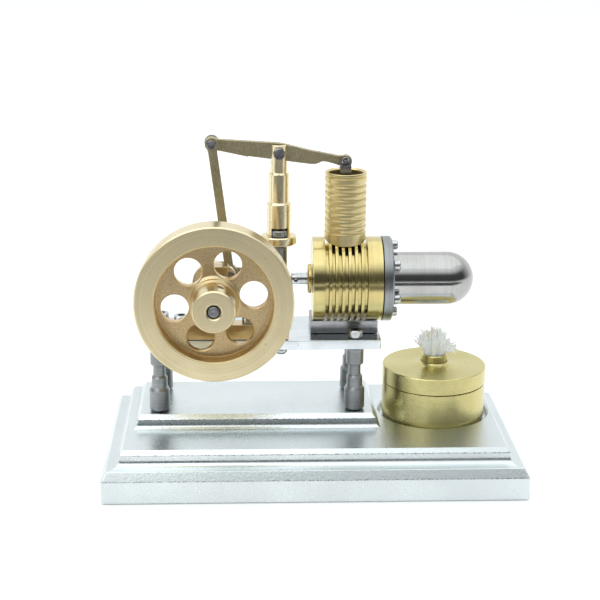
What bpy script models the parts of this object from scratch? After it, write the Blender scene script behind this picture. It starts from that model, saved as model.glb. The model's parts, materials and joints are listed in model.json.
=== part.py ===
"""Model hot-air (Stirling) beam engine on a stepped plinth, with its spirit burner.

Every size below is in millimetres and is turned into metres by MM.
+X runs from the flywheel end to the hot end, +Y to the back, +Z up.
The origin is the centre of the plinth's underside.
"""
from math import asin, atan2, cos, hypot, pi, radians, sin, sqrt

import bmesh
import bpy
from mathutils import Vector

MM = 0.001
GAP = 0.3                       # air left between pieces that touch
EASE = 0.4                      # chamfer on outer edges

# Plinth: three tiers; each moulded edge is a list of (inset, rise) steps.
BASE_LENGTH = 150.0
BASE_DEPTH = 80.0
TIER_1_SIDE = 8.3               # height of the lowest straight side
TIER_2_TOP = 17.2
TIER_3_TOP = 22.0
EDGE_1 = ((1.8, 3.1), (1.6, 0.2), (1.2, 0.3), (0.8, 0.5), (0.45, 0.7), (0.2, 0.8), (0.05, 1.7), (1.3, 1.6))
TIER_3_LOW = (-65.3, -13.2, 16.0)
TIER_3_HIGH = (24.6, 26.9, 17.2)
EDGE_3 = ((0.6, 0.45), (0.4, 0.45), (0.2, 0.6), (0.05, 0.7), (0.05, 0.9), (1.4, 1.7))

# The engine's middle plane and its two main lines.
MID_Y = 5.5
SHAFT_X = -35.2
SHAFT_Z = 68.5

# Deck and its four turned columns.
DECK_LOW = 46.0
DECK_THICK = 3.5
DECK_TOP = DECK_LOW + DECK_THICK
DECK_LEFT = -59.0
DECK_RIGHT = 24.7
DECK_HALF_DEPTH = 15.0
COLUMN_X = (-55.7, 15.4)
COLUMN_SPREAD = 11.0
COLUMN_SIDE = ((3.2, 39.8), (2.2, 39.5), (2.2, 35.4), (2.9, 34.6), (2.9, 31.0), (3.75, 30.0))
CLAMP_NUT_RADIUS = 2.3

# Displacer cylinder, hot end and gland.
CYL_RADIUS = 15.4
CYL_LEFT = 0.0
CYL_RIGHT = 25.1
CYL_BORE = 9.9
GROOVES = 7
GROOVE_FIRST = 5.0
GROOVE_PITCH = 2.33
GROOVE_WIDTH = 1.2
GROOVE_RADIUS = 12.9
FLANGE_THICK = 3.5
FLANGE_RADIUS = 15.6
CAP_RADIUS = 9.75
CAP_WALL = 0.7
CAP_TIP = 59.3
FLANGE_SCREWS = 6
FLANGE_SCREW_CIRCLE = 12.3
FLANGE_SCREW_PHASE = 38.0
GLAND_RADIUS = 5.4
GLAND_THICK = 1.4
GLAND_WALL = 2.5                # closed left end of the cylinder
GUIDE_RADIUS = 2.2
GUIDE_LEFT = -7.7
GUIDE_RIGHT = 2.3
OIL_HOLE_X = -5.9
OIL_HOLE_RADIUS = 0.75

# Power cylinder and piston.
POWER_X = 11.9
POWER_RADIUS = 7.55
POWER_BORE = 6.3
POWER_TOP = 108.4
RING_PITCH = 2.46
RING_WIDTH = 1.0
RING_COUNT = 8
RING_FIRST = 87.1               # lowest groove; one more sits under the rim
RING_DEPTH = 0.55
LIP_GROOVE = 107.2
PISTON_LENGTH = 9.0

# Walking beam, fulcrum and rods.
FULCRUM_X = -12.2
FULCRUM_Z = 115.4
BEAM_ARM = 24.1
BEAM_TILT = radians(7.8)        # hot end down at rest
BEAM_THICK = 2.4
BEAM_LEFT_EYE = 2.4
BEAM_RIGHT_EYE = 2.3
BEAM_LOWER = ((-10.7, -2.8), (12.0, -2.6), (14.0, -2.2), (16.0, -1.1), (18.4, -1.0))
BEAM_UPPER = ((11.0, 2.2), (2.2, 3.2), (-3.5, 3.1))
PIVOT_HOLE = 1.5                # for the fulcrum screw
PIN_HOLE = 1.3                  # for the pins at the beam's ends
CRANK_HOLE = 1.6                # for the pins at the crank
ROD_FRONT = 2.2                 # connecting rod's front face
ROD_THICK = 1.8
CRANK_RADIUS = 6.0
CRANK_ANGLE = radians(28.0)
LINK_LENGTH = 18.5

# Flywheel, shaft and crank disc.
FLY_RADIUS = 27.7
FLY_INNER = 20.6
FLY_FRONT = -28.4
FLY_BACK = -18.8
WEB_FRONT = -23.3
WEB_BACK = -20.3
HUB_FRONT = -36.5
HUB_RADIUS = 7.55
HUB_ROOT = 8.4
FLY_HOLES = 6
FLY_HOLE_RADIUS = 4.9
FLY_HOLE_CIRCLE = 13.9
FLY_HOLE_PHASE = 9.7
SHAFT_RADIUS = 2.0
DISC_RADIUS = 8.4
DISC_FRONT = -1.9
DISC_BACK = 1.1
TOWER_FRONT = -9.0
TOWER_BACK = -3.0
TOWER_HALF = 4.8
TOWER_TOP = 77.0
BRACKET_RIGHT = -8.8
BRACKET_BASE_TOP = 55.4
BRACKET_SCREW_SPREAD = 12.2

# Burner.
BURNER_X = 46.0
RECESS_RADIUS = 20.4
RECESS_FLOOR = 15.0
BURNER_RADIUS = 19.1
BURNER_WALL = 0.9
LID_LOW = 29.4
LID_TOP = 35.4
WICK_TUBE_RADIUS = 4.7
WICK_TUBE_TOP = 39.4
WICK_TOP = 49.2

# Fasteners and small running parts.
SCREW_HOLE = 1.5
M3_HEAD = (2.75, 2.7)           # radius and length
M3_SHANK = 1.2
BRACKET_SCREW_Y = -6.0
CLAMP_SCREW_AT = (-11.5, -6.0, 0.0)
BUSH_RADIUS = 3.0
BUSH_FLANGE = 4.2
SADDLE_LEFT = -0.7
SADDLE_RIGHT = 23.9
SADDLE_TOP = 54.4
SADDLE_HALF_DEPTH = 7.1
ROD_RADIUS = 1.0
TANG_HALF = 1.7
TANG_REACH = 2.4
TANG_FRONT = 4.6
TANG_THICK = 1.0
LINK_FRONT = 5.9
LINK_THICK = 1.2
LINK_HOLE = 1.1
DISPLACER_RADIUS = 8.5
DISPLACER_TIP = 57.0
DISPLACER_LEFT = 17.0
DISPLACER_WALL = 0.6
PISTON_RADIUS = 6.0
PISTON_INNER = 5.0
GUDGEON_Z = 95.8
FORK_HALF = 2.8
FORK_WIDTH = 1.9
FORK_TOP = 118.2
FORK_TIP = 3.1                  # radius of the slotted top
FORK_SIDE = ((3.1, 108.3), (3.7, 107.7), (3.7, 97.5), (4.4, 96.8), (4.4, 85.1))
FORK_SEAT = 85.1                # top of the flange
FORK_FLANGE = 6.5
LOCK_HEAD = (2.6, 2.2)
POST_TOP = 81.5
POST_RADIUS = 2.8
POST_X = -12.0
POST_Y = 2.3                    # in front of the fork, so that the displacer rod passes it
POST_FLAT_Y = 4.2
HUB_BACK = -17.4
SET_SCREW_Y = -30.4
SET_SCREW_TURN = radians(18.0)
WICK_SHANK = 3.6
WICK_BORE = 3.0

BRASS = (0.78, 0.62, 0.30, 1.0)
GOLD_BRASS = (0.83, 0.66, 0.26, 1.0)
DARK_BRASS = (0.42, 0.36, 0.25, 1.0)
ALUMINIUM = (0.80, 0.82, 0.84, 1.0)
STEEL = (0.42, 0.43, 0.45, 1.0)
BRIGHT_STEEL = (0.62, 0.63, 0.65, 1.0)
COTTON = (0.90, 0.89, 0.85, 1.0)


def end_point(side):
    """World x, z of a beam-end pivot: side is -1 at the crank end, +1 at the piston end."""
    along = side * BEAM_ARM
    return FULCRUM_X + along * cos(BEAM_TILT), FULCRUM_Z - along * sin(BEAM_TILT)


CRANK_PIN_X = SHAFT_X + CRANK_RADIUS * cos(CRANK_ANGLE)
CRANK_PIN_Z = SHAFT_Z + CRANK_RADIUS * sin(CRANK_ANGLE)
LEFT_X, LEFT_Z = end_point(-1)
RIGHT_X, RIGHT_Z = end_point(1)
ROD_END_X = CRANK_PIN_X + sqrt(LINK_LENGTH ** 2 - (CRANK_PIN_Z - SHAFT_Z) ** 2)


def clear_scene():
    for obj in list(bpy.data.objects):
        bpy.data.objects.remove(obj, do_unlink=True)


def make_collection(name):
    collection = bpy.data.collections.new(name)
    bpy.context.scene.collection.children.link(collection)
    return collection


def make_material(name, colour, roughness, metallic):
    material = bpy.data.materials.new(name)
    material.use_nodes = True
    shader = material.node_tree.nodes["Principled BSDF"]
    shader.inputs["Base Color"].default_value = colour
    shader.inputs["Roughness"].default_value = roughness
    shader.inputs["Metallic"].default_value = metallic
    material.diffuse_color = colour
    return material


def place(obj, at, axis):
    """Put the object at a point in millimetres with its local Z along the named axis."""
    turns = {"X": (0.0, pi / 2, 0.0), "Y": (-pi / 2, 0.0, 0.0), "Z": (0.0, 0.0, 0.0)}
    obj.location = Vector(at) * MM
    obj.rotation_euler = turns[axis]


def add_object(name, data, look, at=(0.0, 0.0, 0.0), axis="Z"):
    """Link a new piece, with its own material, into the engine's collection."""
    obj = bpy.data.objects.new(name, data)
    ENGINE.objects.link(obj)
    place(obj, at, axis)
    obj.data.materials.append(make_material(name, *look))
    return obj


def add_cutter(name, data, at=(0.0, 0.0, 0.0), axis="Z"):
    obj = bpy.data.objects.new(name, data)
    CUTTERS.objects.link(obj)
    place(obj, at, axis)
    obj.hide_render = True
    obj.display_type = "WIRE"
    return obj


def profile_mesh(name, points, closed):
    """Edge-only profile in the XZ plane from (radius, height) pairs."""
    mesh = bpy.data.meshes.new(name)
    verts = [(r * MM, 0.0, h * MM) for r, h in points]
    edges = [(i, i + 1) for i in range(len(verts) - 1)]
    if closed:
        edges.append((len(verts) - 1, 0))
    mesh.from_pydata(verts, edges, [])
    return mesh


def spin(obj, steps):
    screw = obj.modifiers.new("Turn", "SCREW")
    screw.steps = steps
    screw.render_steps = steps
    screw.use_merge_vertices = True
    screw.merge_threshold = 0.00001
    screw.use_smooth_shade = False


def turned(name, points, look, at=(0.0, 0.0, 0.0), axis="Z", steps=20, closed=False):
    """Turned piece; an open profile runs from the axis at its top to the axis at its foot."""
    obj = add_object(name, profile_mesh(name, points, closed), look, at, axis)
    spin(obj, steps)
    return obj


def turned_cutter(name, points, at=(0.0, 0.0, 0.0), axis="Z", steps=20, closed=False):
    obj = add_cutter(name, profile_mesh(name, points, closed), at, axis)
    spin(obj, steps)
    return obj


def rod_profile(radius, low, high, bevel=0.0):
    """Solid bar along the axis from low to high, with chamfered ends."""
    if bevel == 0.0:
        return [(0, high), (radius, high), (radius, low), (0, low)]
    inner = radius - bevel
    return [(0, high), (inner, high), (radius, high - bevel),
            (radius, low + bevel), (inner, low), (0, low)]


def tube_profile(outer, inner, low, high):
    """Closed ring section from low to high."""
    return [(outer, high), (outer, low), (inner, low), (inner, high)]


def box_mesh(name, size, bevel=0.0):
    """Box of the given size about its own centre, with its edges chamfered."""
    mesh = bpy.data.meshes.new(name)
    bm = bmesh.new()
    bmesh.ops.create_cube(bm, size=1.0)
    bmesh.ops.scale(bm, vec=Vector(size) * MM, verts=bm.verts)
    if bevel > 0.0:
        bmesh.ops.bevel(bm, geom=bm.edges, offset=bevel * MM, segments=1,
                        affect="EDGES", profile=0.5)
    bm.to_mesh(mesh)
    bm.free()
    return mesh


def box(name, low, high, look, bevel=0.0):
    size = [b - a for a, b in zip(low, high)]
    centre = [(a + b) / 2 for a, b in zip(low, high)]
    return add_object(name, box_mesh(name, size, bevel), look, centre)


def box_cutter(name, low, high):
    size = [b - a for a, b in zip(low, high)]
    centre = [(a + b) / 2 for a, b in zip(low, high)]
    return add_cutter(name, box_mesh(name, size), centre)


def combine(target, other, operation="DIFFERENCE"):
    modifier = target.modifiers.new(operation.title(), "BOOLEAN")
    modifier.operation = operation
    modifier.solver = "EXACT"
    modifier.object = other


def arc(centre, radius, start, stop, steps):
    """Points of an arc in degrees, both ends included."""
    out = []
    for i in range(steps + 1):
        angle = radians(start + (stop - start) * i / steps)
        out.append((centre[0] + radius * cos(angle), centre[1] + radius * sin(angle)))
    return out


def flat_curve(name, outlines, thickness):
    """Flat outline with holes as a filled 2D curve, thickness across its plane."""
    curve = bpy.data.curves.new(name, "CURVE")
    curve.dimensions = "2D"
    curve.fill_mode = "BOTH"
    curve.extrude = thickness * MM / 2
    for points in outlines:
        spline = curve.splines.new("POLY")
        spline.points.add(len(points) - 1)
        for point, (x, y) in zip(spline.points, points):
            point.co = (x * MM, y * MM, 0.0, 1.0)
        spline.use_cyclic_u = True
    return curve


def upright_plate(name, outlines, front, thickness, look, pivot, turn=0.0):
    """Flat plate in the XZ plane; its origin is on the pivot, its outline is relative to it."""
    obj = add_object(name, flat_curve(name, outlines, thickness), look)
    obj.location = Vector((pivot[0], front + thickness / 2, pivot[1])) * MM
    obj.rotation_euler = (pi / 2, turn, 0.0)
    return obj


def circle(radius, centre=(0.0, 0.0), steps=16):
    return arc(centre, radius, 0.0, 360.0 * (steps - 1) / steps, steps - 1)


def ring_of_points(radius, count, phase):
    for i in range(count):
        angle = radians(phase + 360.0 * i / count)
        yield i + 1, radius * cos(angle), radius * sin(angle)


def raise_in_steps(bm, top, steps):
    """Inset the top face and lift it once for each (inset, rise) pair."""
    for inset, rise in steps:
        bmesh.ops.inset_region(bm, faces=[top], thickness=inset * MM, use_even_offset=True)
        bmesh.ops.translate(bm, vec=(0.0, 0.0, rise * MM), verts=top.verts)


def lower_tiers_mesh():
    """Tiers 1 and 2: one block whose top face is inset and raised along its moulding."""
    mesh = bpy.data.meshes.new("plinth")
    bm = bmesh.new()
    bmesh.ops.create_cube(bm, size=1.0)
    bmesh.ops.scale(bm, vec=Vector((BASE_LENGTH, BASE_DEPTH, TIER_1_SIDE)) * MM, verts=bm.verts)
    bmesh.ops.translate(bm, vec=(0.0, 0.0, TIER_1_SIDE * MM / 2), verts=bm.verts)
    top = max(bm.faces, key=lambda face: face.calc_center_median().z)
    raise_in_steps(bm, top, EDGE_1)
    bm.to_mesh(mesh)
    bm.free()
    return mesh


def tier_3_mesh():
    """Tier 3: a low block under the engine, its top face raised along its moulding."""
    mesh = bpy.data.meshes.new("engine_tier")
    size = [b - a for a, b in zip(TIER_3_LOW, TIER_3_HIGH)]
    centre = [(a + b) / 2 for a, b in zip(TIER_3_LOW, TIER_3_HIGH)]
    bm = bmesh.new()
    bmesh.ops.create_cube(bm, size=1.0)
    bmesh.ops.scale(bm, vec=Vector(size) * MM, verts=bm.verts)
    bmesh.ops.translate(bm, vec=Vector(centre) * MM, verts=bm.verts)
    top = max(bm.faces, key=lambda face: face.calc_center_median().z)
    raise_in_steps(bm, top, EDGE_3)
    bm.to_mesh(mesh)
    bm.free()
    return mesh


def make_plinth():
    base = add_object("base_plinth", lower_tiers_mesh(), (ALUMINIUM, 0.45, 1.0))
    combine(base, add_cutter("engine_tier", tier_3_mesh()), "UNION")
    recess = rod_profile(RECESS_RADIUS, RECESS_FLOOR, TIER_2_TOP + 5)
    combine(base, turned_cutter("burner_recess", recess, (BURNER_X, MID_Y, 0), steps=48))


def column_places():
    """Name and x, y of each deck column."""
    for x, end in zip(COLUMN_X, ("left", "right")):
        yield "front_" + end, x, MID_Y - COLUMN_SPREAD
        yield "rear_" + end, x, MID_Y + COLUMN_SPREAD


def make_columns():
    low = TIER_3_TOP + GAP
    high = DECK_LOW - GAP
    head, foot = COLUMN_SIDE[0][0], COLUMN_SIDE[-1][0]
    profile = [(0, high), (head, high), *COLUMN_SIDE, (foot, low + EASE), (foot - EASE, low),
               (0, low)]
    for name, x, y in column_places():
        turned("column_" + name, profile, (STEEL, 0.35, 1.0), (x, y, 0), steps=14)


def cap_screw(name, head, shank, seat, tip, at, axis="Z"):
    """Socket screw: head and shank are (radius, length or None); seat is under the head."""
    head_radius, head_length = head
    top = seat + head_length
    socket = head_radius * 0.5
    profile = [(0, top - head_length * 0.5), (socket, top - head_length * 0.5), (socket, top),
               (head_radius, top), (head_radius, seat), (shank, seat), (shank, tip), (0, tip)]
    return turned(name, profile, (STEEL, 0.3, 1.0), at, axis, steps=12)


def hole(target, name, radius, low, high, at, axis="Z", steps=10):
    combine(target, turned_cutter(name, rod_profile(radius, low, high), at, axis, steps))


def make_deck():
    deck = box("deck_plate", (DECK_LEFT, MID_Y - DECK_HALF_DEPTH, DECK_LOW),
               (DECK_RIGHT, MID_Y + DECK_HALF_DEPTH, DECK_TOP), (ALUMINIUM, 0.4, 1.0), bevel=0.4)
    for name, x, y in column_places():
        hole(deck, "deck_hole_" + name, SCREW_HOLE, DECK_LOW - 1, DECK_TOP + 1, (x, y, 0))
    for name, x, y in bracket_screw_places():
        hole(deck, "deck_hole_" + name, SCREW_HOLE, DECK_LOW - 1, DECK_TOP + 1, (x, y, 0))
    hole(deck, "deck_hole_clamp", SCREW_HOLE, DECK_LOW - 1, DECK_TOP + 1, CLAMP_SCREW_AT)


def bracket_screw_places():
    for side, end in ((-1, "left"), (1, "right")):
        yield "bracket_" + end, SHAFT_X + side * BRACKET_SCREW_SPREAD, BRACKET_SCREW_Y


def make_screws():
    """Screws that hold the deck to its columns and the bracket to the deck."""
    for name, x, y in column_places():
        seat = BRACKET_BASE_TOP if name == "front_left" else DECK_TOP
        cap_screw("screw_" + name, M3_HEAD, M3_SHANK, seat + GAP, DECK_LOW, (x, y, 0))
    for name, x, y in bracket_screw_places():
        cap_screw("screw_" + name, M3_HEAD, M3_SHANK, BRACKET_BASE_TOP + GAP, DECK_LOW, (x, y, 0))
    top = DECK_LOW - GAP
    tip = top - 2.0
    profile = [(0, DECK_TOP), (M3_SHANK, DECK_TOP), (M3_SHANK, top), (CLAMP_NUT_RADIUS, top),
               (CLAMP_NUT_RADIUS, tip + 0.8), (CLAMP_NUT_RADIUS - 0.6, tip), (0, tip)]
    turned("screw_bracket_clamp", profile, (STEEL, 0.3, 1.0), CLAMP_SCREW_AT, steps=12)


def make_bracket():
    """Inverted T that stands on the deck's front edge and carries the crankshaft."""
    bracket = box("bearing_bracket", (DECK_LEFT, TOWER_FRONT, DECK_TOP + GAP),
                  (BRACKET_RIGHT, TOWER_BACK, BRACKET_BASE_TOP), (BRIGHT_STEEL, 0.25, 1.0))
    tower = box_cutter("bracket_tower", (SHAFT_X - TOWER_HALF, TOWER_FRONT, DECK_TOP + 2),
                       (SHAFT_X + TOWER_HALF, TOWER_BACK, TOWER_TOP))
    combine(bracket, tower, "UNION")
    hole(bracket, "bush_hole", BUSH_RADIUS + GAP, TOWER_FRONT - 1, TOWER_BACK + 1,
         (SHAFT_X, 0, SHAFT_Z), "Y", 24)
    for name, x, y in bracket_screw_places():
        hole(bracket, "hole_" + name, SCREW_HOLE, DECK_TOP, BRACKET_BASE_TOP + 1, (x, y, 0))
    hole(bracket, "hole_column", SCREW_HOLE, DECK_TOP, BRACKET_BASE_TOP + 1,
         (COLUMN_X[0], MID_Y - COLUMN_SPREAD, 0))


def make_bushes():
    """Flanged bushes pressed into the bracket from the front and from the back."""
    inner = SHAFT_RADIUS + GAP
    front = TOWER_FRONT - GAP
    back = TOWER_BACK + GAP
    look = (BRASS, 0.3, 1.0)
    at = (SHAFT_X, 0, SHAFT_Z)
    front_profile = [(BUSH_RADIUS, front + 2.8), (BUSH_RADIUS, front), (BUSH_FLANGE, front),
                     (BUSH_FLANGE, front - 0.9), (inner, front - 0.9), (inner, front + 2.8)]
    back_profile = [(BUSH_FLANGE, back + 0.5), (BUSH_FLANGE, back), (BUSH_RADIUS, back),
                    (BUSH_RADIUS, back - 2.8), (inner, back - 2.8), (inner, back + 0.5)]
    turned("bush_front", front_profile, look, at, "Y", closed=True)
    turned("bush_back", back_profile, look, at, "Y", closed=True)


def make_saddle():
    """Steel block under the cylinder, hollowed to its round."""
    saddle = box("cylinder_saddle", (SADDLE_LEFT, MID_Y - SADDLE_HALF_DEPTH, DECK_TOP + GAP),
                 (SADDLE_RIGHT, MID_Y + SADDLE_HALF_DEPTH, SADDLE_TOP), (STEEL, 0.25, 1.0))
    hole(saddle, "saddle_round", CYL_RADIUS + GAP, SADDLE_LEFT - 2, SADDLE_RIGHT + 2,
         (0, MID_Y, SHAFT_Z), "X", 48)


def grooved_side(radius, depth, width, pitch, count, first, low, high):
    """Outer side of a turned body from high to low, with square grooves."""
    points = [(radius, high)]
    for i in reversed(range(count)):
        centre = first + pitch * i
        points += [(radius, centre + width / 2), (radius - depth, centre + width / 2),
                   (radius - depth, centre - width / 2), (radius, centre - width / 2)]
    points.append((radius, low))
    return points


def make_displacer_cylinder():
    side = grooved_side(CYL_RADIUS, CYL_RADIUS - GROOVE_RADIUS, GROOVE_WIDTH, GROOVE_PITCH,
                        GROOVES, GROOVE_FIRST, CYL_LEFT, CYL_RIGHT)
    bore = [(GUIDE_RADIUS + GAP, CYL_LEFT), (GUIDE_RADIUS + GAP, GLAND_WALL),
            (CYL_BORE, GLAND_WALL), (CYL_BORE, CYL_RIGHT)]
    body = turned("displacer_cylinder", side + bore, (GOLD_BRASS, 0.28, 1.0),
                  (0, MID_Y, SHAFT_Z), "X", steps=28, closed=True)
    hole(body, "transfer_port", 1.6, SHAFT_Z + CYL_BORE - 2, SHAFT_Z + CYL_RADIUS + 1,
         (POWER_X, MID_Y, 0))


def dome(radius, centre, steps=5):
    """Quarter round from the axis to the side, for a nose that points up the profile."""
    points = [(0, centre + radius)]
    for i in range(1, steps + 1):
        angle = pi / 2 * i / steps
        points.append((radius * sin(angle), centre + radius * cos(angle)))
    return points


def make_hot_end():
    at = (0, MID_Y, SHAFT_Z)
    left = CYL_RIGHT + GAP
    right = left + FLANGE_THICK
    ring = [(FLANGE_RADIUS - 0.5, right), (FLANGE_RADIUS, right - 0.5), (FLANGE_RADIUS, left),
            (CAP_RADIUS + GAP, left), (CAP_RADIUS + GAP, right)]
    flange = turned("heater_flange", ring, (BRIGHT_STEEL, 0.3, 1.0), at, "X", 28, closed=True)
    for i, y, z in ring_of_points(FLANGE_SCREW_CIRCLE, FLANGE_SCREWS, FLANGE_SCREW_PHASE):
        place_y, place_z = MID_Y - y, SHAFT_Z + z
        hole(flange, f"flange_hole_{i}", 1.1, left - 1, right + 1, (0, place_y, place_z), "X", 8)
        cap_screw(f"flange_screw_{i}", (1.75, 2.2), 0.8, right + GAP, left,
                  (0, place_y, place_z), "X")
    centre = CAP_TIP - CAP_RADIUS
    outer = dome(CAP_RADIUS, centre) + [(CAP_RADIUS, left)]
    inner = [(CAP_RADIUS - CAP_WALL, left)] + dome(CAP_RADIUS - CAP_WALL, centre)[::-1]
    turned("heater_cap", outer + inner, (BRIGHT_STEEL, 0.22, 1.0), at, "X")


def make_gland():
    at = (0, MID_Y, SHAFT_Z)
    right = CYL_LEFT - GAP
    disc = tube_profile(GLAND_RADIUS, GUIDE_RADIUS + GAP, right - GLAND_THICK, right)
    turned("gland_disc", disc, (BRASS, 0.3, 1.0), at, "X", closed=True)
    guide = tube_profile(GUIDE_RADIUS, ROD_RADIUS + GAP, GUIDE_LEFT, GUIDE_RIGHT)
    tube = turned("rod_guide", guide, (STEEL, 0.25, 1.0), at, "X", 16, closed=True)
    hole(tube, "oil_hole", OIL_HOLE_RADIUS, MID_Y - GUIDE_RADIUS - 1, MID_Y,
         (OIL_HOLE_X, 0, SHAFT_Z), "Y")


def make_displacer():
    """Thin can with a round nose, on a rod that leaves through the guide."""
    at = (0, MID_Y, SHAFT_Z)
    centre = DISPLACER_TIP - DISPLACER_RADIUS
    inner = DISPLACER_RADIUS - DISPLACER_WALL
    can = dome(DISPLACER_RADIUS, centre)
    can += [(DISPLACER_RADIUS, DISPLACER_LEFT), (ROD_RADIUS + GAP, DISPLACER_LEFT),
            (ROD_RADIUS + GAP, DISPLACER_LEFT + 0.8), (inner, DISPLACER_LEFT + 0.8)]
    can += dome(inner, centre)[::-1]
    turned("displacer", can, (STEEL, 0.4, 1.0), at, "X")
    rod = rod_profile(ROD_RADIUS, ROD_END_X + TANG_REACH + GAP, DISPLACER_LEFT + 12)
    turned("displacer_rod", rod, (BRIGHT_STEEL, 0.2, 1.0), at, "X", 12)


def make_rod_end():
    """Flat tang on the displacer rod, with the pin that carries the link behind it."""
    outline = arc((0, 0), TANG_HALF, 90, 270, 10) + [(TANG_REACH, -TANG_HALF),
                                                     (TANG_REACH, TANG_HALF)]
    upright_plate("rod_end", [outline, circle(LINK_HOLE, steps=12)], TANG_FRONT, TANG_THICK,
                  (STEEL, 0.3, 1.0), (ROD_END_X, SHAFT_Z), 0.0)
    back = LINK_FRONT + LINK_THICK + GAP
    pin = [(0, back + 0.7), (1.6, back + 0.7), (1.6, back), (0.8, back),
           (0.8, TANG_FRONT + 0.1), (0, TANG_FRONT + 0.1)]
    turned("rod_end_pin", pin, (BRIGHT_STEEL, 0.25, 1.0), (ROD_END_X, 0, SHAFT_Z), "Y", 12)


def make_link():
    """Flat link from the displacer rod's end to the crank."""
    outline = arc((0, 0), 1.9, -70, 70, 6) + arc((-LINK_LENGTH, 0), 2.6, 40, 320, 12)
    holes = [circle(LINK_HOLE, steps=12), circle(CRANK_HOLE, (-LINK_LENGTH, 0))]
    angle = asin((CRANK_PIN_Z - SHAFT_Z) / LINK_LENGTH)
    upright_plate("displacer_link", [outline] + holes, LINK_FRONT, LINK_THICK,
                  (DARK_BRASS, 0.4, 1.0), (ROD_END_X, SHAFT_Z), angle)
    back = LINK_FRONT + LINK_THICK + GAP
    pin = [(0, back + 0.7), (2.0, back + 0.7), (2.0, back), (1.3, back),
           (1.3, LINK_FRONT), (0, LINK_FRONT)]
    turned("link_pin", pin, (STEEL, 0.3, 1.0), (CRANK_PIN_X, 0, CRANK_PIN_Z), "Y", 12)


def make_power_cylinder():
    low = SHAFT_Z + sqrt(CYL_RADIUS ** 2 - POWER_RADIUS ** 2) - 1.5
    floor = POWER_RADIUS - RING_DEPTH
    side = [(POWER_RADIUS, POWER_TOP), (POWER_RADIUS, LIP_GROOVE + 0.3),
            (floor, LIP_GROOVE + 0.3), (floor, LIP_GROOVE - 0.4)]  # groove under the lip
    side += grooved_side(POWER_RADIUS, RING_DEPTH, RING_WIDTH, RING_PITCH, RING_COUNT,
                         RING_FIRST, low, LIP_GROOVE - 0.4)
    mouth = [(POWER_BORE, low), (POWER_BORE, POWER_TOP - 0.6), (POWER_BORE + 0.45, POWER_TOP)]
    tube = turned("power_cylinder", side + mouth, (BRASS, 0.3, 1.0), (POWER_X, MID_Y, 0),
                  closed=True)
    hole(tube, "power_seat", CYL_RADIUS + GAP, CYL_LEFT - 10, CYL_RIGHT + 10,
         (0, MID_Y, SHAFT_Z), "X", 48)


def make_piston():
    """Cup piston, its cross pin, and the forked link that hangs from the beam."""
    top = GUDGEON_Z + 2.6
    low = top - PISTON_LENGTH
    cup = [(0, GUDGEON_Z - 3.6), (PISTON_INNER, GUDGEON_Z - 3.6), (PISTON_INNER, top),
           (PISTON_RADIUS, top), (PISTON_RADIUS, low), (0, low)]
    turned("piston", cup, (STEEL, 0.3, 1.0), (POWER_X, MID_Y, 0))
    pin = rod_profile(1.0, MID_Y - PISTON_INNER + 0.5, MID_Y + PISTON_INNER - 0.5)
    turned("gudgeon_pin", pin, (BRIGHT_STEEL, 0.25, 1.0), (POWER_X, 0, GUDGEON_Z), "Y", 12)


def make_piston_link():
    front, back = MID_Y - FORK_HALF, MID_Y + FORK_HALF
    link = box("piston_link", (RIGHT_X - FORK_WIDTH, front, GUDGEON_Z),
               (RIGHT_X + FORK_WIDTH, back, RIGHT_Z), (STEEL, 0.3, 1.0))
    crown = turned_cutter("fork_crown", rod_profile(FORK_WIDTH, front, back),
                          (RIGHT_X, 0, RIGHT_Z), "Y", 20)
    combine(link, crown, "UNION")
    eye = turned_cutter("link_foot", rod_profile(2.9, front, back), (RIGHT_X, 0, GUDGEON_Z),
                        "Y", 20)
    combine(link, eye, "UNION")
    slot = BEAM_THICK / 2 + GAP
    combine(link, box_cutter("fork_slot", (RIGHT_X - 4, MID_Y - slot, RIGHT_Z - 4.2),
                             (RIGHT_X + 4, MID_Y + slot, RIGHT_Z + 4)))
    hole(link, "fork_hole", PIN_HOLE, front - 1, back + 1, (RIGHT_X, 0, RIGHT_Z), "Y")
    hole(link, "foot_hole", 1.9, front - 1, back + 1, (RIGHT_X, 0, GUDGEON_Z), "Y")
    pin = rod_profile(1.0, front + 0.1, back - 0.1)
    turned("wrist_pin", pin, (STEEL, 0.3, 1.0), (RIGHT_X, 0, RIGHT_Z), "Y", 12)


def make_beam():
    """Walking beam, deepest over the fulcrum, relieved below where it dips into the cylinder."""
    left = arc((-BEAM_ARM, 0.0), BEAM_LEFT_EYE, 60, 290, 10)
    right = arc((BEAM_ARM, 0.0), BEAM_RIGHT_EYE, -130, 120, 10)
    holes = [circle(PIVOT_HOLE), circle(PIN_HOLE, (-BEAM_ARM, 0.0), 12),
             circle(PIN_HOLE, (BEAM_ARM, 0.0), 12)]
    outline = [*left, *BEAM_LOWER, *right, *BEAM_UPPER]
    upright_plate("walking_beam", [outline] + holes,
                  MID_Y - BEAM_THICK / 2, BEAM_THICK, (DARK_BRASS, 0.4, 1.0),
                  (FULCRUM_X, FULCRUM_Z), BEAM_TILT)
    back, front = MID_Y + BEAM_THICK / 2 + GAP, ROD_FRONT - GAP
    pin = [(0, back + 0.9), (2.6, back + 0.9), (2.6, back), (PIN_HOLE - GAP, back),
           (PIN_HOLE - GAP, front), (1.65, front), (1.65, front - 0.8), (0, front - 0.8)]
    turned("rod_pin", pin, (STEEL, 0.3, 1.0), (LEFT_X, 0, LEFT_Z), "Y", 16)


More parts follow.
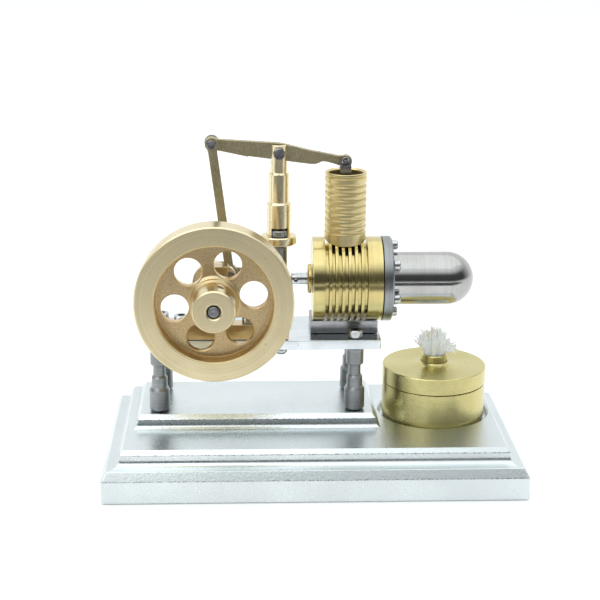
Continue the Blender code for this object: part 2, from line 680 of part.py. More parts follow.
def make_connecting_rod():
    dx, dz = CRANK_PIN_X - LEFT_X, CRANK_PIN_Z - LEFT_Z
    length = hypot(dx, dz)
    outline = arc((0, 0), 2.4, -45, 225, 12) + arc((0, -length), 3.0, 125, 415, 14)
    holes = [circle(PIN_HOLE, steps=12), circle(CRANK_HOLE, (0, -length))]
    upright_plate("connecting_rod", [outline] + holes, ROD_FRONT, ROD_THICK,
                  (BRASS, 0.4, 1.0), (LEFT_X, LEFT_Z), -atan2(dx, -dz))
    pin = rod_profile(1.3, ROD_FRONT, ROD_FRONT + ROD_THICK + 0.2)
    turned("big_end_pin", pin, (STEEL, 0.3, 1.0), (CRANK_PIN_X, 0, CRANK_PIN_Z), "Y", 12)


def make_fulcrum():
    """Steel post with a brass fork on top; the beam rocks on a slotted screw."""
    post = turned("fulcrum_post", rod_profile(POST_RADIUS, DECK_TOP + GAP, POST_TOP, 0.3),
                  (STEEL, 0.3, 1.0), (POST_X, POST_Y, 0), steps=20)
    flat = box_cutter("post_flat", (POST_X - 5, POST_FLAT_Y, DECK_TOP + 6),
                      (POST_X + 5, POST_FLAT_Y + 5, POST_TOP - 5))
    combine(post, flat)
    at = (FULCRUM_X, MID_Y, 0)
    low = POST_TOP + GAP
    flange, seat = FORK_FLANGE, FORK_SEAT
    fork = [(0, FORK_TOP), (FORK_TIP - EASE, FORK_TOP), (FORK_TIP, FORK_TOP - 0.5), *FORK_SIDE,
            (flange - EASE, seat), (flange, seat - EASE), (flange, low + 0.5),
            (flange - 0.5, low), (0, low)]
    column = turned("fulcrum_fork", fork, (BRASS, 0.25, 1.0), at, steps=20)
    slot = BEAM_THICK / 2 + GAP
    combine(column, box_cutter("beam_slot", (FULCRUM_X - 4, MID_Y - slot, FULCRUM_Z - 3.9),
                               (FULCRUM_X + 4, MID_Y + slot, FULCRUM_Z + 6)))
    hole(column, "fulcrum_hole", PIVOT_HOLE, MID_Y - 5, MID_Y + 5, (FULCRUM_X, 0, FULCRUM_Z), "Y")
    head_radius, head_length = LOCK_HEAD
    hole(column, "lock_notch", head_radius + GAP, seat, seat + head_length + 0.9,
         (POST_X, POST_Y, 0), steps=16)
    hole(column, "lock_hole", SCREW_HOLE, POST_TOP, seat + 0.9, (POST_X, POST_Y, 0))
    cap_screw("fulcrum_lock_screw", LOCK_HEAD, M3_SHANK, seat + GAP, POST_TOP + GAP,
              (POST_X, POST_Y, 0))
    head = MID_Y - FORK_TIP - GAP
    screw = [(0, MID_Y + 2.4), (1.2, MID_Y + 2.4), (1.2, head), (2.15, head),
             (2.15, head - 1.0), (1.8, head - 1.3), (0, head - 1.3)]
    turned("fulcrum_screw", screw, (STEEL, 0.3, 1.0), (FULCRUM_X, 0, FULCRUM_Z), "Y", 16)


def make_flywheel():
    at = (SHAFT_X, 0, SHAFT_Z)
    bore = SHAFT_RADIUS + GAP
    section = [(FLY_RADIUS - 0.3, FLY_BACK), (FLY_RADIUS, FLY_BACK - 0.3),
               (FLY_RADIUS, FLY_FRONT + 0.3), (FLY_RADIUS - 0.3, FLY_FRONT),
               (FLY_INNER, FLY_FRONT), (FLY_INNER, WEB_FRONT), (HUB_ROOT, WEB_FRONT),
               (HUB_ROOT - 0.6, WEB_FRONT - 0.8), (HUB_RADIUS, HUB_FRONT + 0.5),
               (HUB_RADIUS - 0.5, HUB_FRONT), (bore, HUB_FRONT), (bore, HUB_BACK),
               (HUB_RADIUS, HUB_BACK), (HUB_RADIUS, WEB_BACK), (FLY_INNER, WEB_BACK),
               (FLY_INNER, FLY_BACK)]
    wheel = turned("flywheel", section, (BRASS, 0.32, 1.0), at, "Y", 40, closed=True)
    for i, x, z in ring_of_points(FLY_HOLE_CIRCLE, FLY_HOLES, FLY_HOLE_PHASE):
        hole(wheel, f"web_hole_{i}", FLY_HOLE_RADIUS, WEB_FRONT - 1, WEB_BACK + 1,
             (SHAFT_X + x, 0, SHAFT_Z + z), "Y", 14)
    place_at = (SHAFT_X, SET_SCREW_Y, SHAFT_Z)
    thread = turned_cutter("set_screw_hole", rod_profile(1.3, 1.0, HUB_RADIUS + 2), place_at,
                           steps=12)
    screw = turned("hub_set_screw", rod_profile(1.0, SHAFT_RADIUS + GAP, HUB_RADIUS - 0.8),
                   (STEEL, 0.35, 1.0), place_at, steps=12)
    for obj in (thread, screw):
        obj.rotation_euler = (0, SET_SCREW_TURN, 0)
    combine(wheel, thread)


def make_crankshaft():
    at = (SHAFT_X, 0, SHAFT_Z)
    shaft = rod_profile(SHAFT_RADIUS, HUB_FRONT + 0.2, DISC_BACK - 0.2, 0.3)
    turned("crankshaft", shaft, (BRIGHT_STEEL, 0.2, 1.0), at, "Y", 16)
    ring = tube_profile(DISC_RADIUS, SHAFT_RADIUS + GAP, DISC_FRONT, DISC_BACK)
    disc = turned("crank_disc", ring, (BRIGHT_STEEL, 0.3, 1.0), at, "Y", 28, closed=True)
    pin_at = (CRANK_PIN_X, 0, CRANK_PIN_Z)
    hole(disc, "crank_pin_hole", 1.8, DISC_FRONT - 1, DISC_BACK + 1, pin_at, "Y", 16)
    pin = rod_profile(1.5, DISC_FRONT + 0.1, ROD_FRONT - GAP)
    turned("crank_pin", pin, (STEEL, 0.3, 1.0), pin_at, "Y", 12)


def make_burner():
    at = (BURNER_X, MID_Y, 0)
    low = RECESS_FLOOR + GAP
    floor = low + BURNER_WALL
    inner = BURNER_RADIUS - BURNER_WALL
    cup = [(0, floor), (inner, floor), (inner, LID_LOW - GAP), (BURNER_RADIUS, LID_LOW - GAP),
           (BURNER_RADIUS, low + 1.0), (BURNER_RADIUS - 1.0, low), (0, low)]
    turned("burner_cup", cup, (GOLD_BRASS, 0.2, 1.0), at, steps=32)
    lip = inner - GAP
    lid = [(BURNER_RADIUS - 0.2, LID_TOP), (BURNER_RADIUS + 0.1, LID_TOP - 0.3),
           (BURNER_RADIUS + 0.1, LID_LOW), (lip, LID_LOW), (lip, LID_LOW - 2.0),
           (lip - 0.9, LID_LOW - 2.0), (lip - 0.9, LID_TOP - 1.0),
           (WICK_SHANK + GAP, LID_TOP - 1.0), (WICK_SHANK + GAP, LID_TOP)]
    turned("burner_lid", lid, (GOLD_BRASS, 0.25, 1.0), at, steps=32, closed=True)
    seat = LID_TOP + GAP
    collar = [(WICK_TUBE_RADIUS - 0.3, WICK_TUBE_TOP), (WICK_TUBE_RADIUS, WICK_TUBE_TOP - 0.3),
              (WICK_TUBE_RADIUS, seat), (WICK_SHANK, seat), (WICK_SHANK, LID_TOP - 4.5),
              (WICK_BORE, LID_TOP - 4.5), (WICK_BORE, WICK_TUBE_TOP)]
    turned("wick_tube", collar, (GOLD_BRASS, 0.25, 1.0), at, steps=20, closed=True)


def make_wick():
    """Cotton bundle: it stands in the spirit and frays into a tuft above its tube."""
    stem = WICK_BORE - GAP
    tuft = WICK_TUBE_TOP + 0.4
    profile = [(0, WICK_TOP), (3.8, WICK_TOP - 0.7), (6.0, WICK_TOP - 2.6),
               (6.4, WICK_TOP - 4.6), (5.0, WICK_TOP - 7.2), (3.6, tuft + 0.4), (stem, tuft),
               (stem, RECESS_FLOOR + 3), (0, RECESS_FLOOR + 3)]
    turned("wick", profile, (COTTON, 0.9, 0.0), (BURNER_X, MID_Y, 0), steps=20)


def build():
    for make in (make_plinth, make_columns, make_deck, make_screws, make_bracket, make_bushes,
                 make_saddle, make_displacer_cylinder, make_hot_end, make_gland,
                 make_displacer, make_rod_end, make_link, make_power_cylinder, make_piston,
                 make_piston_link, make_beam, make_connecting_rod, make_fulcrum,
                 make_flywheel, make_crankshaft, make_burner, make_wick):
        make()


clear_scene()
ENGINE = make_collection("hot_air_beam_engine")
CUTTERS = make_collection("cutters")
build()
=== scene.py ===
"""Looks of the hot-air beam engine.

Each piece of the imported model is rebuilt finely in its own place, and gets a worked metal of its own.
Sizes are in millimetres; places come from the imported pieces' boxes.
"""
import json
import random
from math import asin, atan2, cos, hypot, pi, radians, sin, sqrt, tan

import bmesh
import bpy
from mathutils import Matrix, Vector


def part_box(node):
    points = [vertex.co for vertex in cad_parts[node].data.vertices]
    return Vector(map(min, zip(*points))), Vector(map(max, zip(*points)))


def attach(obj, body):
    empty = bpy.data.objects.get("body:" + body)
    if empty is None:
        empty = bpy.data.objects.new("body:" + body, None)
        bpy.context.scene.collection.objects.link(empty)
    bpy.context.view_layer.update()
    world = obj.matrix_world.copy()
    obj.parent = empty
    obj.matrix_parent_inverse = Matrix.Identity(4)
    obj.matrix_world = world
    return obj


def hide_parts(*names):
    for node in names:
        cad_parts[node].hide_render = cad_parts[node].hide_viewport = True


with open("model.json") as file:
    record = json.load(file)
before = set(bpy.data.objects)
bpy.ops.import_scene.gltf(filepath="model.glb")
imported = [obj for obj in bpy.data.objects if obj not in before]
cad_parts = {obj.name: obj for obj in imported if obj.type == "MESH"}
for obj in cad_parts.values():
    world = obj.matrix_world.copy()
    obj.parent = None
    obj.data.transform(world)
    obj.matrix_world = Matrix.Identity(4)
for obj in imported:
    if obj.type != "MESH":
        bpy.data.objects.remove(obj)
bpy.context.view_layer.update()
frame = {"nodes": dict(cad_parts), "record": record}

MM = 0.001
FLYWHEEL_STEPS = 176  # faces round a turned piece, from the largest to a drilled hole
BURNER_STEPS = 160
RING_STEPS = 112
SMALL_STEPS = 48
DRILL_STEPS = 32
ROUND_STEPS = 3  # faces round a softened corner
TINY = 0.001  # a profile's side shorter than this counts as none
STRAIGHT = 2.7  # radians; a corner more open than this isn't softened
SHARP = 38.0  # degrees; softer edges are shaded smooth
GAP = 0.3  # between pieces that turn, slide or sit in each other
BODY = {node: body for body, nodes in frame["record"]["behaviour"]["bodies"].items() for node in nodes}

# Camera: where it stands in metres, and how it is turned in degrees.
CAMERA_AT = (-0.0258, -0.5003, 0.2124)
CAMERA_TURN = (2.437, 16.724, -0.413)  # yaw, pitch and roll
CAMERA_LENS = 86.28

# Tent: sine of elevation and brightness at the front; its tint; its colour behind; and the range of a
# direction's Y over which the front turns into the back.
TENT = ((0.0, 0.16), (0.10, 0.06), (0.46, 0.10), (0.70, 1.05), (1.0, 1.15))
TENT_TINT = (0.96, 1.02, 1.03)
BEHIND = (1.00, 1.03, 1.04)
FRONT_TO_BEHIND = (-0.30, 0.55)

FLOOR_HALF = 6.0
# Dark card on the floor before the engine, in metres: its near and far edges, and half its width.
FLAG_NEAR = -0.21
FLAG_FAR = -0.80
FLAG_HALF = 0.55

# Lamps: place, the point each aims at and its size, in metres, and its power in watts.
LAMPS = {
    "key": ((-0.60, -0.55, 0.90), (0.0, 0.0, 0.05), (1.3, 1.0), 4.4),
    "top": ((0.10, 0.15, 1.10), (0.0, 0.0, 0.0), (1.6, 1.4), 2.8),
}


# ---- frame

class Span:
    """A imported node's box in millimetres."""

    def __init__(self, node):
        low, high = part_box(node)
        self.low = Vector(low) / MM
        self.high = Vector(high) / MM
        self.mid = (self.low + self.high) / 2
        self.size = self.high - self.low

    def centre(self, axis):
        """The middle, moved along the axis to the origin's level."""
        return [0.0 if name == axis else value for name, value in zip("XYZ", self.mid)]


def register(obj, node, *more):
    """The piece stands for its node, which it hides, and rides as the node does."""
    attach(obj, BODY[node])
    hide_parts(node, *more)


# ---- mesh tools

def new_object(name, data):
    obj = bpy.data.objects.new(name, data)
    bpy.context.scene.collection.objects.link(obj)
    return obj


def place(obj, at, axis):
    """Put the object at a point with its local Z along the named axis."""
    turns = {"X": (0.0, pi / 2, 0.0), "Y": (-pi / 2, 0.0, 0.0), "Z": (0.0, 0.0, 0.0)}
    obj.location = Vector(at) * MM
    obj.rotation_euler = turns[axis]


def built(name, bm):
    """Object of a bmesh, which is used up."""
    mesh = bpy.data.meshes.new(name)
    bm.to_mesh(mesh)
    bm.free()
    return new_object(name, mesh)


def baked(obj):
    """The object's shape, with its modifiers, as a mesh."""
    return bpy.data.meshes.new_from_object(obj.evaluated_get(bpy.context.evaluated_depsgraph_get()))


def soften(points, radius, closed):
    """Round the corners of a profile; its two ends stay as they are unless it is closed."""
    out = []
    count = len(points)
    for i, point in enumerate(points):
        here = Vector(point)
        back = Vector(points[i - 1]) - here
        ahead = Vector(points[(i + 1) % count]) - here
        at_end = not closed and i in (0, count - 1)
        if at_end or min(back.length, ahead.length) < TINY or back.angle(ahead) > STRAIGHT:
            out.append(tuple(here))
            continue
        reach = min(radius / tan(back.angle(ahead) / 2), 0.45 * back.length, 0.45 * ahead.length)
        start = here + back.normalized() * reach
        end = here + ahead.normalized() * reach
        for k in range(ROUND_STEPS + 1):
            t = k / ROUND_STEPS
            out.append(tuple(start * (1 - t) ** 2 + here * 2 * t * (1 - t) + end * t * t))
    return out


def revolve(name, points, at, axis, steps, closed=False):
    """Profile of (radius, height) pairs turned about an axis; an open one starts and ends on it."""
    mesh = bpy.data.meshes.new(name)
    verts = [(r * MM, 0.0, h * MM) for r, h in points]
    edges = [(i, i + 1) for i in range(len(verts) - 1)]
    if closed:
        edges.append((len(verts) - 1, 0))
    mesh.from_pydata(verts, edges, [])
    obj = new_object(name, mesh)
    place(obj, at, axis)
    screw = obj.modifiers.new("Turn", "SCREW")
    screw.steps = steps
    screw.render_steps = steps
    screw.use_merge_vertices = True
    screw.merge_threshold = 0.000001
    return obj


def rod_points(radius, low, high, chamfer=0.0):
    if chamfer == 0.0:
        return [(0, high), (radius, high), (radius, low), (0, low)]
    return [(0, high), (radius - chamfer, high), (radius, high - chamfer),
            (radius, low + chamfer), (radius - chamfer, low), (0, low)]


def drill(radius, low, high, at, axis="Z", steps=DRILL_STEPS):
    return revolve("drill", rod_points(radius, low, high), at, axis, steps)


def cube(name, low, high, edge=0.0):
    """Box with its edges rounded by edge."""
    size = Vector(high) - Vector(low)
    bm = bmesh.new()
    bmesh.ops.create_cube(bm, size=1.0)
    bmesh.ops.scale(bm, vec=size * MM, verts=bm.verts)
    if edge > 0.0:
        bmesh.ops.bevel(bm, geom=bm.edges, offset=edge * MM, segments=3, affect="EDGES", profile=0.5)
    obj = built(name, bm)
    obj.location = (Vector(low) + Vector(high)) / 2 * MM
    return obj


def settle(obj, cutters=(), joined=()):
    """Cut and join the piece, make the result its mesh, and smooth all but its sharp edges."""
    for kind, others in (("UNION", joined), ("DIFFERENCE", cutters)):
        for other in others:
            step = obj.modifiers.new(kind.title(), "BOOLEAN")
            step.operation = kind
            step.solver = "EXACT"
            step.object = other
    mesh = baked(obj)
    obj.modifiers.clear()
    obj.data = mesh
    for other in (*cutters, *joined):
        bpy.data.objects.remove(other, do_unlink=True)
    mesh.shade_smooth()
    mesh.set_sharp_from_angle(angle=radians(SHARP))
    weigh = obj.modifiers.new("Normals", "WEIGHTED_NORMAL")
    weigh.keep_sharp = True
    return obj


def turned(node, points, axis="Z", steps=SMALL_STEPS, closed=False, edge=0.15, cutters=(), at=None):
    """Finished turned piece for a node, about the node's own middle line unless told where."""
    at = at or Span(node).centre(axis)
    obj = revolve(node + "_fine", soften(points, edge, closed), at, axis, steps, closed)
    finish(settle(obj, cutters), node)


def make_pin(node, chamfer=0.15, edge=0.15):
    """Plain pin along Y."""
    span = Span(node)
    points = rod_points(span.size.x / 2, span.low.y, span.high.y, chamfer)
    turned(node, points, "Y", edge=edge)


def finish(obj, node):
    """Give the piece its material and register it."""
    obj.data.materials.clear()
    obj.data.materials.append(look_of(node))
    register(obj, node)


def arc(centre, radius, start, stop, steps):
    """Points of an arc in degrees, both ends included."""
    out = []
    for i in range(steps + 1):
        angle = radians(start + (stop - start) * i / steps)
        out.append((centre[0] + radius * cos(angle), centre[1] + radius * sin(angle)))
    return out


def circle(radius, centre=(0.0, 0.0), steps=40):
    return arc(centre, radius, 0, 360 * (steps - 1) / steps, steps - 1)


def curve_mesh(name, curve):
    shape = new_object(name + "_curve", curve)
    mesh = baked(shape)
    bpy.data.objects.remove(shape, do_unlink=True)
    return mesh


def plate(name, outlines, thick, edge=0.15):
    """Flat piece in its local XY plane, from z 0 to thick; the outlines after the first are holes."""
    curve = bpy.data.curves.new(name, "CURVE")
    curve.dimensions = "2D"
    curve.fill_mode = "BOTH"
    curve.extrude = (thick / 2 - edge) * MM
    curve.bevel_depth = edge * MM
    curve.bevel_resolution = 2
    curve.offset = -edge * MM
    for outline in outlines:
        spline = curve.splines.new("POLY")
        spline.points.add(len(outline) - 1)
        for point, (x, y) in zip(spline.points, outline):
            point.co = (x * MM, y * MM, 0.0, 1.0)
        spline.use_cyclic_u = True
    mesh = curve_mesh(name, curve)
    bm = bmesh.new()
    bm.from_mesh(mesh)
    bmesh.ops.remove_doubles(bm, verts=bm.verts, dist=0.000002)
    bmesh.ops.translate(bm, vec=(0.0, 0.0, thick * MM / 2), verts=bm.verts)
    return built(name, bm)


def upright(node, outlines, edge, pivot=(0.0, 0.0), turn=0.0, cutters=()):
    """Finished flat piece for a node, upright: its outlines are about a pivot (x, z), turned about Y."""
    span = Span(node)
    obj = plate(node + "_fine", outlines, span.size.y, edge)
    back = Vector((pivot[0], span.low.y, pivot[1])) * MM + Vector((0.0, obj.dimensions.z, 0.0))
    lean = Matrix.Rotation(turn, 4, "Y") @ Matrix.Rotation(pi / 2, 4, "X")
    obj.matrix_world = Matrix.Translation(back) @ lean
    finish(settle(obj, cutters), node)


def rounded_ring(centre, half, corner, steps=6):
    """Corner-rounded rectangle, anticlockwise."""
    ring = []
    for sx, sy, start in ((1, -1, -90), (1, 1, 0), (-1, 1, 90), (-1, -1, 180)):
        middle = (centre[0] + sx * (half[0] - corner), centre[1] + sy * (half[1] - corner))
        ring += arc(middle, corner, start, start + 90, steps)
    return ring


def moulded(name, centre, half, profile, corner=0.7, edge=0.35):
    """Block whose sides follow a moulding: (inset, height) pairs from the bottom to the top."""
    bm = bmesh.new()
    rings = []
    for inset, z in soften(profile, edge, False):
        ring = rounded_ring(centre, (half[0] - inset, half[1] - inset), corner)
        rings.append([bm.verts.new((x * MM, y * MM, z * MM)) for x, y in ring])
    count = len(rings[0])
    for low, high in zip(rings, rings[1:]):
        for i in range(count):
            j = (i + 1) % count
            bm.faces.new((low[i], low[j], high[j], high[i]))
    bm.faces.new(list(reversed(rings[0])))
    bm.faces.new(rings[-1])
    return built(name, bm)


# ---- materials

class Nodes:
    """Small helper round a node tree."""

    def __init__(self, tree):
        self.tree = tree

    def add(self, kind, links=(), **values):
        node = self.tree.nodes.new(kind)
        for key, value in values.items():
            setattr(node, key, value)
        for name, source in dict(links).items():
            self.feed(node, name, source)
        return node

    def feed(self, node, name, source):
        """Link or set an input; a plain colour comes without its alpha."""
        socket = node.inputs[name]
        if isinstance(source, bpy.types.NodeSocket):
            self.tree.links.new(source, socket)
        else:
            socket.default_value = (*source, 1.0) if socket.type == "RGBA" else source

    def math(self, operation, a, b=0.0):
        return self.add("ShaderNodeMath", {0: a, 1: b}, operation=operation).outputs[0]

    def plus(self, a, b):
        return self.math("ADD", a, b)

    def times(self, a, b):
        return self.math("MULTIPLY", a, b)

    def ramp(self, source, low, high, start=0.0, stop=1.0):
        """Source between low and high, as start to stop, held at both ends."""
        links = {"Value": source, "From Min": low, "From Max": high, "To Min": start, "To Max": stop}
        return self.add("ShaderNodeMapRange", links).outputs["Result"]

    def mix(self, factor, one, other):
        links = {0: factor, 6: one, 7: other}
        return self.add("ShaderNodeMix", links, data_type="RGBA").outputs[2]


class Shader(Nodes):
    """A material of one principled surface."""

    def __init__(self, name, colour, roughness, metallic=1.0):
        self.material = bpy.data.materials.new(name)
        self.material.use_nodes = True
        super().__init__(self.material.node_tree)
        self.bsdf = self.tree.nodes["Principled BSDF"]
        self.set("Base Color", colour)
        self.set("Roughness", roughness)
        self.set("Metallic", metallic)
        self.coords = self.add("ShaderNodeTexCoord").outputs["Object"]

    def set(self, name, source):
        self.feed(self.bsdf, name, source)

    def noise(self, vector, scale, detail, rough):
        links = {"Vector": vector, "Scale": scale, "Detail": detail, "Roughness": rough}
        return self.add("ShaderNodeTexNoise", links).outputs["Fac"]

    def stretched(self, scale):
        links = {0: self.coords, 1: scale}
        return self.add("ShaderNodeVectorMath", links, operation="MULTIPLY").outputs[0]

    def radius(self, parts):
        """Distance from local Z, from the separated coordinates."""
        squares = self.plus(self.times(parts[0], parts[0]), self.times(parts[1], parts[1]))
        return self.math("SQRT", squares)

    def rings(self, spread=0.006):
        """Coordinates that change with radius and height about local Z, and hardly round it."""
        parts = self.add("ShaderNodeSeparateXYZ", {0: self.coords}).outputs
        drift = self.times(parts[0], spread)
        return self.add("ShaderNodeCombineXYZ", {0: self.radius(parts), 1: parts[2], 2: drift}).outputs[0]

    def between(self, inner, outer, edge=0.0004):
        """1 between two radii about local Z, in metres, and 0 outside them."""
        radius = self.radius(self.add("ShaderNodeSeparateXYZ", {0: self.coords}).outputs)
        return self.times(self.ramp(radius, inner, inner + edge),
                          self.ramp(radius, outer - edge, outer, 1.0, 0.0))

    def round_sides(self):
        """1 on surfaces that face away from local Z, 0 on those square to it."""
        normal = self.add("ShaderNodeTexCoord").outputs["Normal"]
        along = self.math("ABSOLUTE", self.add("ShaderNodeSeparateXYZ", {0: normal}).outputs[2])
        return self.ramp(along, 0.3, 0.8, 1.0, 0.0)

    def specks(self, scale, share):
        """Sparse small spots: 1 in a spot, 0 elsewhere."""
        cells = self.add("ShaderNodeTexVoronoi", {"Vector": self.coords, "Scale": scale})
        near = self.ramp(cells.outputs["Distance"], 0.06, 0.13, 1.0, 0.0)
        pick = self.add("ShaderNodeSeparateColor", {0: cells.outputs["Color"]}).outputs[0]
        return self.times(near, self.math("GREATER_THAN", pick, 1.0 - share))

    def bump(self, height, distance, strength):
        links = {"Height": height, "Distance": distance, "Strength": strength}
        return self.add("ShaderNodeBump", links).outputs["Normal"]


def worked_metal(name, colour, stain, rough, marks, scale, depth=0.00001, pits=0.03, aniso=0.0, lines=0.3,
                 side_polish=0.0, dish=None):
    """Metal with tool marks that follow `marks`, uneven polish, light staining and a few pits.

    marks is "rings" for lathe work, or the scale of the marks along X, Y and Z for ground work.
    side_polish is how much smoother the round sides are; dish is (inner, outer, colour) of a darker,
    mottled zone: partly the face's own tone, partly painted shade and reflection.
    """
    shader = Shader(name, colour, rough)
    vector = shader.rings() if marks == "rings" else shader.stretched(marks)
    fine = shader.noise(vector, scale, 5.0, 0.7)
    broad = shader.noise(vector, scale * 0.17, 2.0, 0.5)
    cloud = shader.noise(shader.coords, 90.0, 4.0, 0.6)
    grain = shader.noise(shader.coords, 2600.0, 2.0, 0.6)
    spots = shader.specks(560.0, pits)
    tone = shader.mix(shader.ramp(cloud, 0.38, 0.70, 0.0, 0.5), colour, stain)
    tone = shader.mix(shader.ramp(broad, 0.35, 0.65, 0.0, lines * 0.8), tone, stain)
    tone = shader.mix(shader.ramp(fine, 0.42, 0.62, 0.0, lines), tone, tuple(c * 0.6 for c in stain))
    polish = shader.plus(shader.ramp(fine, 0.3, 0.7, rough - 0.17 * lines, rough + 0.23 * lines),
                         shader.ramp(cloud, 0.35, 0.65, -0.03, 0.05))
    # Dish zone: a darker, warmer mottled tone, partly the face's own and partly painted shade and
    # reflection in the recess.
    if dish is not None:
        inside = shader.between(*dish[:2])
        mottle = shader.ramp(grain, 0.42, 0.6, 0.45, 0.95)
        tone = shader.mix(shader.times(inside, mottle), tone, dish[2])
    if side_polish > 0.0:
        polish = shader.math("SUBTRACT", polish, shader.times(shader.round_sides(), side_polish))
    shader.set("Base Color", shader.mix(shader.times(spots, 0.8), tone, tuple(c * 0.2 for c in stain)))
    shader.set("Roughness", shader.plus(polish, shader.times(spots, 0.3)))
    height = shader.plus(fine, shader.times(grain, 0.35))
    shader.set("Normal", shader.bump(height, depth, 0.6))
    if aniso > 0.0:
        shader.set("Anisotropic", aniso)
        shader.set("Anisotropic Rotation", 0.25)
        tangent = shader.add("ShaderNodeTangent", direction_type="RADIAL", axis="Z")
        shader.set("Tangent", tangent.outputs[0])
    return shader.material


def nicks(shader, heights):
    """Small marks along level edges at the given heights, in metres: 1 in a mark, 0 elsewhere."""
    z = shader.add("ShaderNodeSeparateXYZ", {0: shader.coords}).outputs[2]
    edges = 0.0
    for height in heights:
        distance = shader.math("ABSOLUTE", shader.math("SUBTRACT", z, height))
        edges = shader.math("MAXIMUM", edges, shader.ramp(distance, 0.00012, 0.00034, 1.0, 0.0))
    chance = shader.ramp(shader.noise(shader.coords, 1100.0, 3.0, 0.7), 0.50, 0.58)
    return shader.times(edges, chance)


def blasted_aluminium(name, colour, shade, rough, edges):
    """Satin cast and machined aluminium: a fine even grain with a soft sparkle, nicked at its edges."""
    shader = Shader(name, colour, rough)
    grain = shader.noise(shader.coords, 2100.0, 4.0, 0.7)
    coarse = shader.noise(shader.coords, 700.0, 3.0, 0.6)
    cloud = shader.noise(shader.coords, 26.0, 4.0, 0.55)
    pits = shader.specks(330.0, 0.05)
    tone = shader.mix(shader.ramp(cloud, 0.35, 0.7, 0.0, 0.5), colour, shade)
    tone = shader.mix(shader.ramp(grain, 0.45, 0.75, 0.0, 0.35), tone, shade)
    marks = shader.math("MAXIMUM", shader.times(pits, 0.5), shader.times(nicks(shader, edges), 0.8))
    shader.set("Base Color", shader.mix(marks, tone, tuple(c * 0.4 for c in shade)))
    shader.set("Roughness", shader.plus(shader.ramp(grain, 0.3, 0.7, rough - 0.06, rough + 0.10),
                                        shader.ramp(cloud, 0.35, 0.65, -0.03, 0.05)))
    height = shader.plus(grain, shader.times(coarse, 0.8))
    shader.set("Normal", shader.bump(height, 0.00006, 0.7))
    return shader.material


def cotton(name):
    """Loose undyed cotton, with a warmer, singed heart at the top, and a faint painted glow that lightens
    the shade between its strands.
    """
    shader = Shader(name, (0.86, 0.85, 0.82), 0.95, 0.0)
    fuzz = shader.noise(shader.stretched((1.0, 1.0, 0.15)), 5200.0, 3.0, 0.6)
    parts = shader.add("ShaderNodeSeparateXYZ", {0: shader.coords}).outputs
    off_x = shader.plus(parts[0], 0.0012)
    radius = shader.radius((off_x, parts[1]))
    heart = shader.times(shader.ramp(radius, 0.0012, 0.0034, 1.0, 0.0),
                         shader.ramp(parts[2], 0.004, 0.009, 0.0, 0.75))
    tone = shader.mix(shader.ramp(fuzz, 0.35, 0.65), (0.97, 0.99, 0.97), (0.82, 0.85, 0.83))
    shader.set("Base Color", shader.mix(heart, tone, (0.83, 0.77, 0.62)))
    shader.set("Sheen Weight", 0.3)
    shader.set("Subsurface Weight", 0.25)
    shader.set("Subsurface Scale", 0.0006)
    # Painted light: a faint warm emission brightens the tuft where its strands shade each other.
    shader.set("Emission Color", (1.0, 0.99, 0.95))
    shader.set("Emission Strength", 0.08)
    shader.set("Normal", shader.bump(fuzz, 0.00006, 0.5))
    return shader.material


LATHE = "rings"
ALONG_X = (0.04, 1.0, 1.0)
UPRIGHT = (1.0, 1.0, 0.05)

